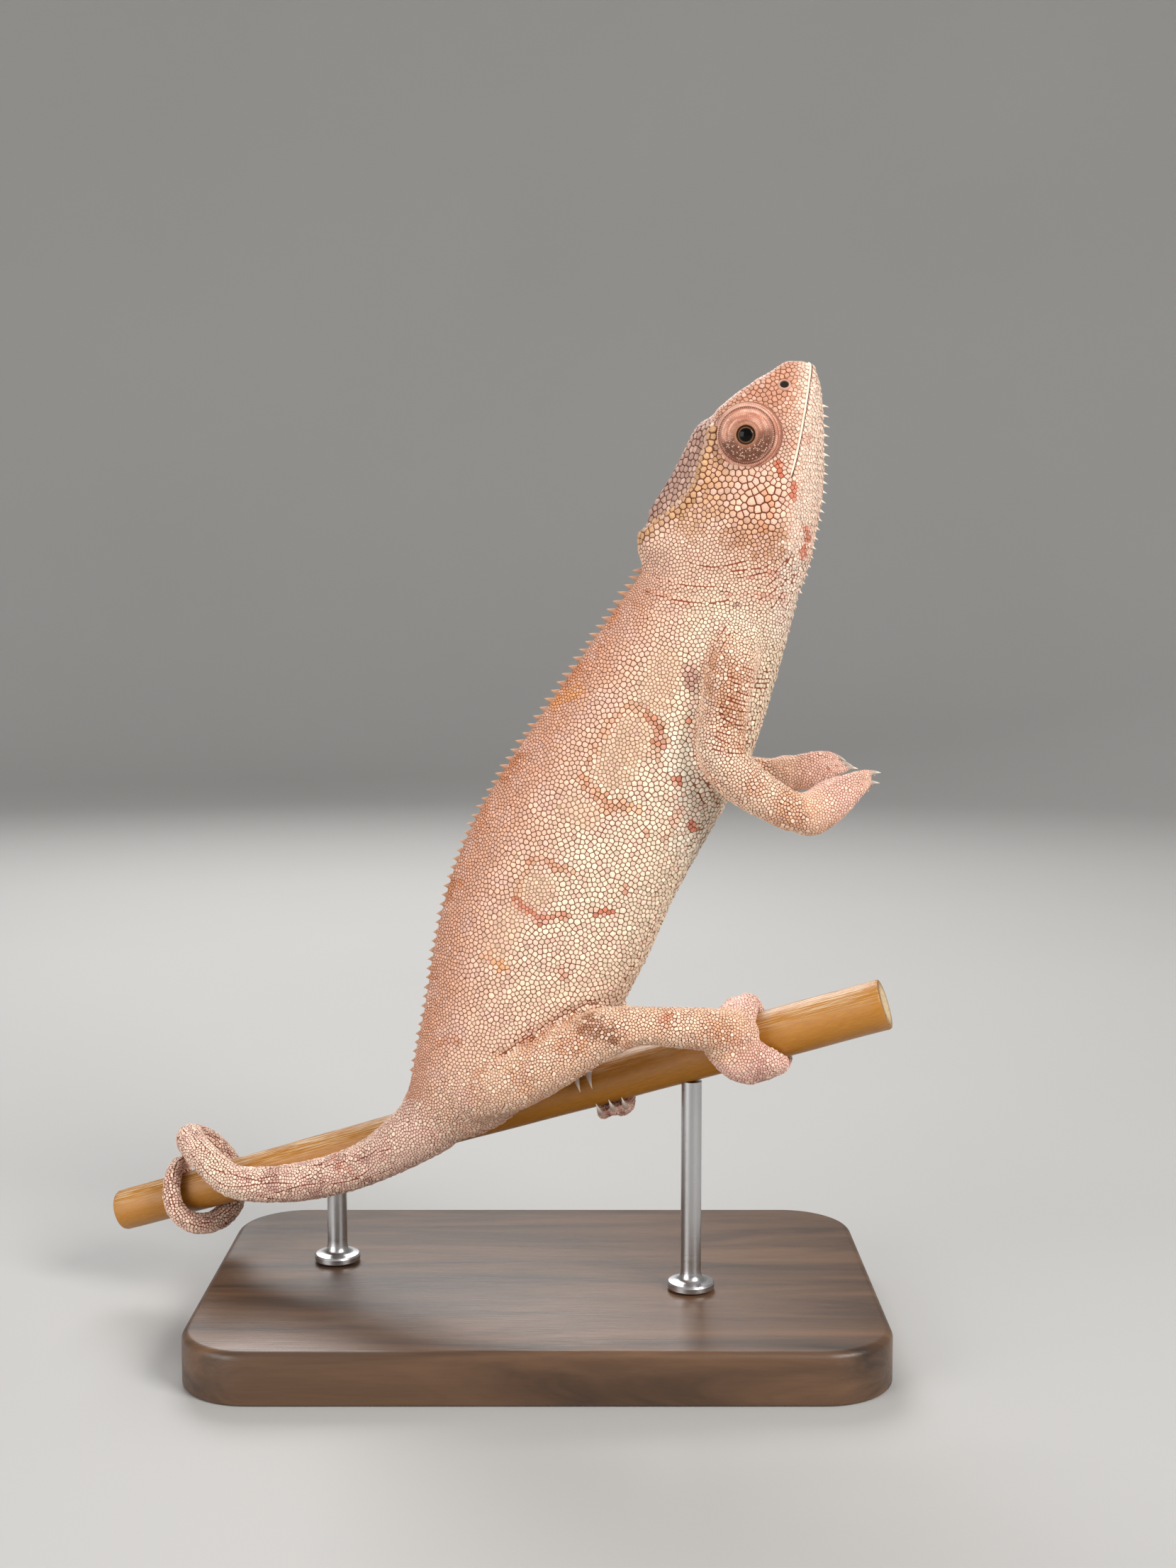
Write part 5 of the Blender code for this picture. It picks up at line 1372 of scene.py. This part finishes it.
def bare_places(surface):
    """Places where no scale stands: between the lips, round the claws and under the lids."""
    found = [(tuple(place), 0.34) for place in mouth_path(surface, 0.08, 0.0)]
    found += [(tuple(root + out * 0.8), 1.45) for root, out, *_ in claw_places()]
    for side in (-1, 1):
        at, looks, _, _ = eye_frame(side)
        found.append((tuple(at - looks * 0.5), 5.9))
    return found


# Materials.

def new_material(name):
    """A new material and its nodes."""
    made = bpy.data.materials.new(name)
    made.use_nodes = True
    return made, made.node_tree


def feed(tree, made, inputs):
    """Gives a node's inputs a value each, or what another node puts out."""
    for key, value in inputs.items():
        if isinstance(value, bpy.types.NodeSocket):
            tree.links.new(value, made.inputs[key])
        else:
            made.inputs[key].default_value = value


def node(tree, kind, inputs=(), **settings):
    """What a new shader node puts out, with its settings and inputs."""
    made = tree.nodes.new("ShaderNode" + kind)
    for key, value in settings.items():
        setattr(made, key, value)
    feed(tree, made, dict(inputs))
    return made.outputs


def shade(tree, inputs):
    """Sets the inputs of the material's own shader."""
    feed(tree, tree.nodes["Principled BSDF"], inputs)


def painted(tree):
    """The colour painted on the mesh."""
    return node(tree, "Attribute", attribute_name="paint")["Color"]


def place_in(tree):
    """The place on the object."""
    return node(tree, "TexCoord")["Object"]


def cloud(tree, place, stretch, scale, detail=2.0, roughness=0.5, distortion=0.0):
    """Smooth noise at places that are first stretched along each axis."""
    if stretch:
        place = node(tree, "Mapping", {"Vector": place, "Scale": stretch})["Vector"]
    return node(tree, "TexNoise", {"Vector": place, "Scale": scale, "Detail": detail,
                                   "Roughness": roughness, "Distortion": distortion})["Fac"]


def remap(tree, value, start, end, low=0.0, high=1.0):
    """A value taken from one range to another."""
    return node(tree, "MapRange", {"Value": value, "From Min": start, "From Max": end, "To Min": low,
                                   "To Max": high})["Result"]


def ramp(tree, value, *ends):
    """A blend between two ends, each a position and a colour."""
    made = tree.nodes.new("ShaderNodeValToRGB")
    for element, (position, colour) in zip(made.color_ramp.elements, ends):
        element.position, element.color = position, (*colour, 1)
    tree.links.new(value, made.inputs["Fac"])
    return made.outputs["Color"]


def scaled(tree, colour, share):
    """A colour times a share."""
    return node(tree, "VectorMath", {0: colour, "Scale": share}, operation="SCALE")[0]


def combined(tree, operation, one, other):
    """Two numbers put together by a sum."""
    return node(tree, "Math", {0: one, 1: other}, operation=operation)[0]


def relief(tree, height, strength, distance=0.0002):
    """A fine bump of the surface."""
    return node(tree, "Bump", {"Height": height, "Strength": strength, "Distance": distance})["Normal"]


def speckle_group():
    """A shader group: a colour broken by small lighter and darker specks, a height and a roughness."""
    group = bpy.data.node_groups.new("speckle", "ShaderNodeTree")
    sockets = group.interface
    sockets.new_socket("Colour", in_out="INPUT", socket_type="NodeSocketColor")
    for name, value in (("Grain", 1500.0), ("Amount", 0.2), ("Depth", 0.3)):
        sockets.new_socket(name, in_out="INPUT", socket_type="NodeSocketFloat").default_value = value
    sockets.new_socket("Colour", in_out="OUTPUT", socket_type="NodeSocketColor")
    for name in ("Height", "Roughness"):
        sockets.new_socket(name, in_out="OUTPUT", socket_type="NodeSocketFloat")
    given = group.nodes.new("NodeGroupInput").outputs
    specks = cloud(group, place_in(group), None, given["Grain"], 3.0, 0.6)
    low, high = (combined(group, way, 1.0, given["Amount"]) for way in ("SUBTRACT", "ADD"))
    feed(group, group.nodes.new("NodeGroupOutput"), {
        "Colour": scaled(group, given["Colour"], remap(group, specks, 0.3, 0.7, low, high)),
        "Height": combined(group, "MULTIPLY", specks, given["Depth"]),
        "Roughness": remap(group, specks, 0.3, 0.7, 0.42, 0.62)})
    return group


def painted_material(name, group, grain, amount, depth, bump=0.4, roughness=None):
    """A surface with its painted colours, broken by specks and a fine bump."""
    made, tree = new_material(name)
    specks = node(tree, "Group", {"Colour": painted(tree), "Grain": grain, "Amount": amount,
                                  "Depth": depth}, node_tree=group)
    shade(tree, {"Base Color": specks["Colour"], "Normal": relief(tree, specks["Height"], bump),
                 "Roughness": roughness or specks["Roughness"], "Specular IOR Level": 0.18})
    return made


def eye_material():
    """The wet surface of the eyeball."""
    made, tree = new_material("eye")
    shade(tree, {"Base Color": painted(tree), "Roughness": 0.07, "Specular IOR Level": 0.12})
    return made


def cane_material():
    """Golden cane: grain along its length, worn pale streaks on top, and darker below."""
    made, tree = new_material("cane")
    place = node(tree, "Attribute", attribute_name="lie")["Vector"]
    grain = cloud(tree, place, (1.2, 50.0, 50.0), 4.0, 6.0, 0.65)
    streaks = cloud(tree, place, (0.3, 9.0, 9.0), 4.0, 4.0, 0.6)
    above = node(tree, "SeparateXYZ", {0: place})["Z"]
    worn = combined(tree, "MULTIPLY", remap(tree, streaks, 0.50, 0.62), remap(tree, above, 0.35, 0.95))
    rind = ramp(tree, grain, (0.3, (0.25, 0.08, 0.005)), (0.70, (0.60, 0.27, 0.035)))
    pale = node(tree, "Mix", {"Factor": worn, 6: rind, 7: (0.78, 0.62, 0.42, 1)}, data_type="RGBA")[2]
    shade(tree, {"Base Color": pale, "Normal": relief(tree, grain, 0.25),
                 "Roughness": remap(tree, worn, 0.0, 1.0, 0.26, 0.6)})
    return made


def cut_end_material():
    """The sawn end of the cane: pale fibres seen end on, and a darker rind."""
    made, tree = new_material("cut_end")
    pores = node(tree, "TexVoronoi", {"Vector": place_in(tree), "Scale": 1900.0})["Distance"]
    shade(tree, {"Base Color": scaled(tree, painted(tree), remap(tree, pores, 0.1, 0.4, 0.35, 1.0)),
                 "Roughness": 0.8})
    return made


def walnut_material():
    """Dark oiled walnut with its grain along the plate."""
    made, tree = new_material("walnut")
    place = place_in(tree)
    grain = cloud(tree, place, (9.0, 70.0, 70.0), 1.6, 5.0, 0.6, 0.6)
    pores = cloud(tree, place, (60.0, 900.0, 900.0), 2.0, 3.0)
    tones = ramp(tree, grain, (0.32, (0.035, 0.018, 0.010)), (0.70, (0.17, 0.088, 0.045)))
    shade(tree, {"Base Color": tones, "Normal": relief(tree, pores, 0.2),
                 "Roughness": remap(tree, pores, 0.0, 1.0, 0.3, 0.5)})
    return made


def steel_material():
    """Brushed steel."""
    made, tree = new_material("steel")
    lines = cloud(tree, place_in(tree), (200.0, 200.0, 4000.0), 1.0)
    shade(tree, {"Base Color": (0.55, 0.55, 0.56, 1), "Metallic": 1.0,
                 "Normal": relief(tree, lines, 0.1, 0.0001),
                 "Roughness": remap(tree, lines, 0.0, 1.0, 0.2, 0.45)})
    return made


def floor_material():
    """The pale grey of the studio."""
    made, tree = new_material("floor")
    tones = ramp(tree, cloud(tree, place_in(tree), None, 3.0, 3.0), (0.0, (0.46, 0.455, 0.445)),
                 (1.0, (0.51, 0.505, 0.495)))
    shade(tree, {"Base Color": tones, "Roughness": 0.7})
    return made


# Cane and stand.

def make_cane(rind, cut):
    """The cane as one turned shape with softened cut ends."""
    length = CANE_END - CANE_START
    start, end = (CANE_RADIUS + CANE_TAPER * station for station in (CANE_START, CANE_END))
    rows = sawn_end(start)
    for k in range(1, 60):
        share = k / 60
        swell = 0.035 * math.sin(share * 23) + 0.03 * math.sin(share * 51)
        rows.append((start + (end - start) * share + swell, length * share))
    rows += [(radius, length - depth) for radius, depth in sawn_end(end)[::-1]]
    centre = row_point(*(CANE_POINT + CANE_AXIS * CANE_START))
    cane = spun("cane", rows, centre, CANE_AXIS, CANE_FRONT, 72, rind)
    mesh = cane.data
    mesh.materials.append(cut)
    mesh.set_sharp_from_angle(angle=math.radians(40))
    local = places_of(mesh) - np.array(CANE_POINT)
    along, front, top = (local @ np.array(way) for way in (CANE_AXIS, CANE_FRONT, CANE_TOP))
    lie = np.stack([along / 10, front / 10, top / 4.5], 1)
    layer = mesh.attributes.new("lie", "FLOAT_VECTOR", "POINT")
    layer.data.foreach_set("vector", lie.astype(np.float32).ravel())
    paint(mesh, mix(PITH, CUT_RIND, step(np.hypot(front, top), 3.2, 4.1)))
    for face in mesh.polygons:
        if abs(face.normal.dot(CANE_AXIS)) > 0.6:
            face.material_index = 1
    dressed(cane, "cane", "perch_cane")


def sawn_end(radius):
    """The profile of a cut end with its softened edge, from the middle out: (radius, depth)."""
    return [(0.02, 0.05), (radius * 0.55, 0.0), (radius - 0.5, 0.0), (radius - 0.15, 0.12), (radius, 0.5)]


def soften(work, edges, offset, segments):
    """Rounds edges over by an offset in millimetres."""
    bmesh.ops.bevel(work, geom=edges, offset=offset * MM, segments=segments, profile=0.5, affect="EDGES",
                    material=-1)


def make_base(material):
    """A rounded plate with softened edges."""
    low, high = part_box("stand_base")
    work = bmesh.new()
    bmesh.ops.create_cube(work, size=1, matrix=Matrix.Translation((low + high) / 2)
                          @ Matrix.Diagonal((*(high - low), 1)))
    upright = [e for e in work.edges if abs(e.verts[0].co.z - e.verts[1].co.z) > 0.5 * (high.z - low.z)]
    soften(work, upright, 14, 16)
    soften(work, list(max(work.faces, key=lambda face: face.calc_center_median().z).edges), 1.6, 6)
    soften(work, list(min(work.faces, key=lambda face: face.calc_center_median().z).edges), 0.6, 3)
    base = from_bmesh("base", work, material)
    base.data.set_sharp_from_angle(angle=math.radians(40))
    dressed(base, "base", "stand_base")


def make_rod(number, material):
    """A turned steel rod with a foot, up to the underside of the cane."""
    name = f"stand_rod_{number}"
    low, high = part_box(name)
    centre = Vector(((low.x + high.x) / 2, (low.y + high.y) / 2, low.z))
    height = (high.z - low.z) / MM
    rows = (*ROD_FOOT, (2.0, height * 0.5), (2.0, height - 0.9), (2.0, height - 0.3), (0.02, height - 0.1))
    rod = spun(f"rod_{number}", rows, centre, UP, Vector((1, 0, 0)), 48, material)
    rod.data.set_sharp_from_angle(angle=math.radians(35))
    dressed(rod, "rod", name)


# Stage, camera and lights.

def make_stage():
    """A pale floor that runs up all round into a pale wall."""
    rows = [(0.0, 0.0), (1.1, 0.0)]
    rows += [(1.1 + 0.5 * math.sin(turn), 0.5 - 0.5 * math.cos(turn))
             for turn in np.linspace(0.1, math.pi / 2, 14)]
    rows.append((1.6, 1.9))
    work = bmesh.new()
    verts = [work.verts.new((r, 0, h)) for r, h in rows]
    edges = [work.edges.new(pair) for pair in zip(verts[:-1], verts[1:])]
    bmesh.ops.spin(work, geom=verts + edges, cent=(0, 0, 0), axis=(0, 0, 1), angle=TURN, steps=96,
                   use_merge=True)
    bmesh.ops.remove_doubles(work, verts=work.verts, dist=1e-6)
    floor = from_bmesh("floor", work, floor_material())
    world = bpy.data.worlds.new("studio")
    world.use_nodes = True
    world.node_tree.nodes["Background"].inputs["Color"].default_value = (1.0, 1.0, 1.0, 1)
    world.node_tree.nodes["Background"].inputs["Strength"].default_value = 0.5
    bpy.context.scene.world = world


def make_light(name, place, power, size, colour=(1, 1, 1)):
    """A square lamp that faces the animal."""
    lamp = bpy.data.lights.new(name, "AREA")
    lamp.energy, lamp.size, lamp.color = power, size, colour
    obj = bpy.data.objects.new(name, lamp)
    obj.location = Vector(place)
    obj.rotation_euler = (AIM * MM - obj.location).to_track_quat("-Z", "Y").to_euler()
    bpy.context.scene.collection.objects.link(obj)


def make_camera():
    """The photograph's own view."""
    data = bpy.data.cameras.new("camera")
    data.lens, data.sensor_fit, data.sensor_height, data.clip_start = LENS, "VERTICAL", SENSOR, 0.005
    camera = bpy.data.objects.new("camera", data)
    camera.location = (AIM + Vector(BACK) * DISTANCE) * MM
    camera.rotation_euler = (-Vector(BACK)).to_track_quat("-Z", "Y").to_euler()
    bpy.context.scene.collection.objects.link(camera)
    bpy.context.scene.camera = camera


def dress():
    """Everything the animal wears."""
    group = speckle_group()
    hide = painted_material("skin", group, 1500.0, 0.2, 0.6)
    scales = painted_material("scales", group, 2200.0, 0.12, 0.5, 0.25)
    soft = painted_material("lip_skin", group, 1800.0, 0.1, 0.4, 0.2)
    line = painted_material("mouth_dark", group, 1500.0, 0.1, 0.3, roughness=0.7)
    horn = painted_material("horn", group, 900.0, 0.15, 0.3, 0.15, roughness=0.35)
    eye = eye_material()
    skin, points, quads, normals, facts = make_skin(hide)
    surface = BVHTree.FromPolygons([Vector(p) for p in points], quads.tolist())
    bare = make_nostrils(surface, soft) + bare_places(surface)
    make_lips(surface, soft, line)
    seams = seam_points(surface)
    # The skin shows between the scales. It takes the groove tones and WINE along creases and clefts,
    # partly painted shade, and pale open skin round the claws.
    tones = mix(groove_tones(facts), WINE, seam_nearness(points, seams, facts))
    tones = mix(tones, OPEN_SKIN, 1 - step(from_claws(points), 1.7, 2.5))
    paint(skin.data, markings(points, facts) * tones)
    fixed = lip_rows(surface) + casque_row(surface)
    make_coat(points, quads, normals, facts, fixed, bare, seams, scales)
    for side, name in ((-1, "right"), (1, "left")):
        make_turret(f"{name}_lids", side, hide, scales)
        make_eye(f"{name}_eye", side, eye)
    make_crest("back_crest", BACK_CREST, BACK_TONES, scales)
    make_crest("throat_crest", THROAT_CREST, (CHIN, SPINE, 0.3, 0.8), scales)
    make_claws(horn)


make_camera()
make_stage()
make_light("key", (0.62, -0.60, 0.64), 8.9, 0.4, (1.0, 0.98, 0.95))
make_light("fill", (-0.70, -0.60, 0.30), 5.4, 0.6, (1.0, 0.99, 0.98))
make_light("rim", (-0.15, 0.70, 0.65), 5.0, 0.5)
bpy.context.scene.view_settings.view_transform = "Standard"
dress()
make_cane(cane_material(), cut_end_material())
make_base(walnut_material())
metal = steel_material()
for place in (1, 2):
    make_rod(place, metal)
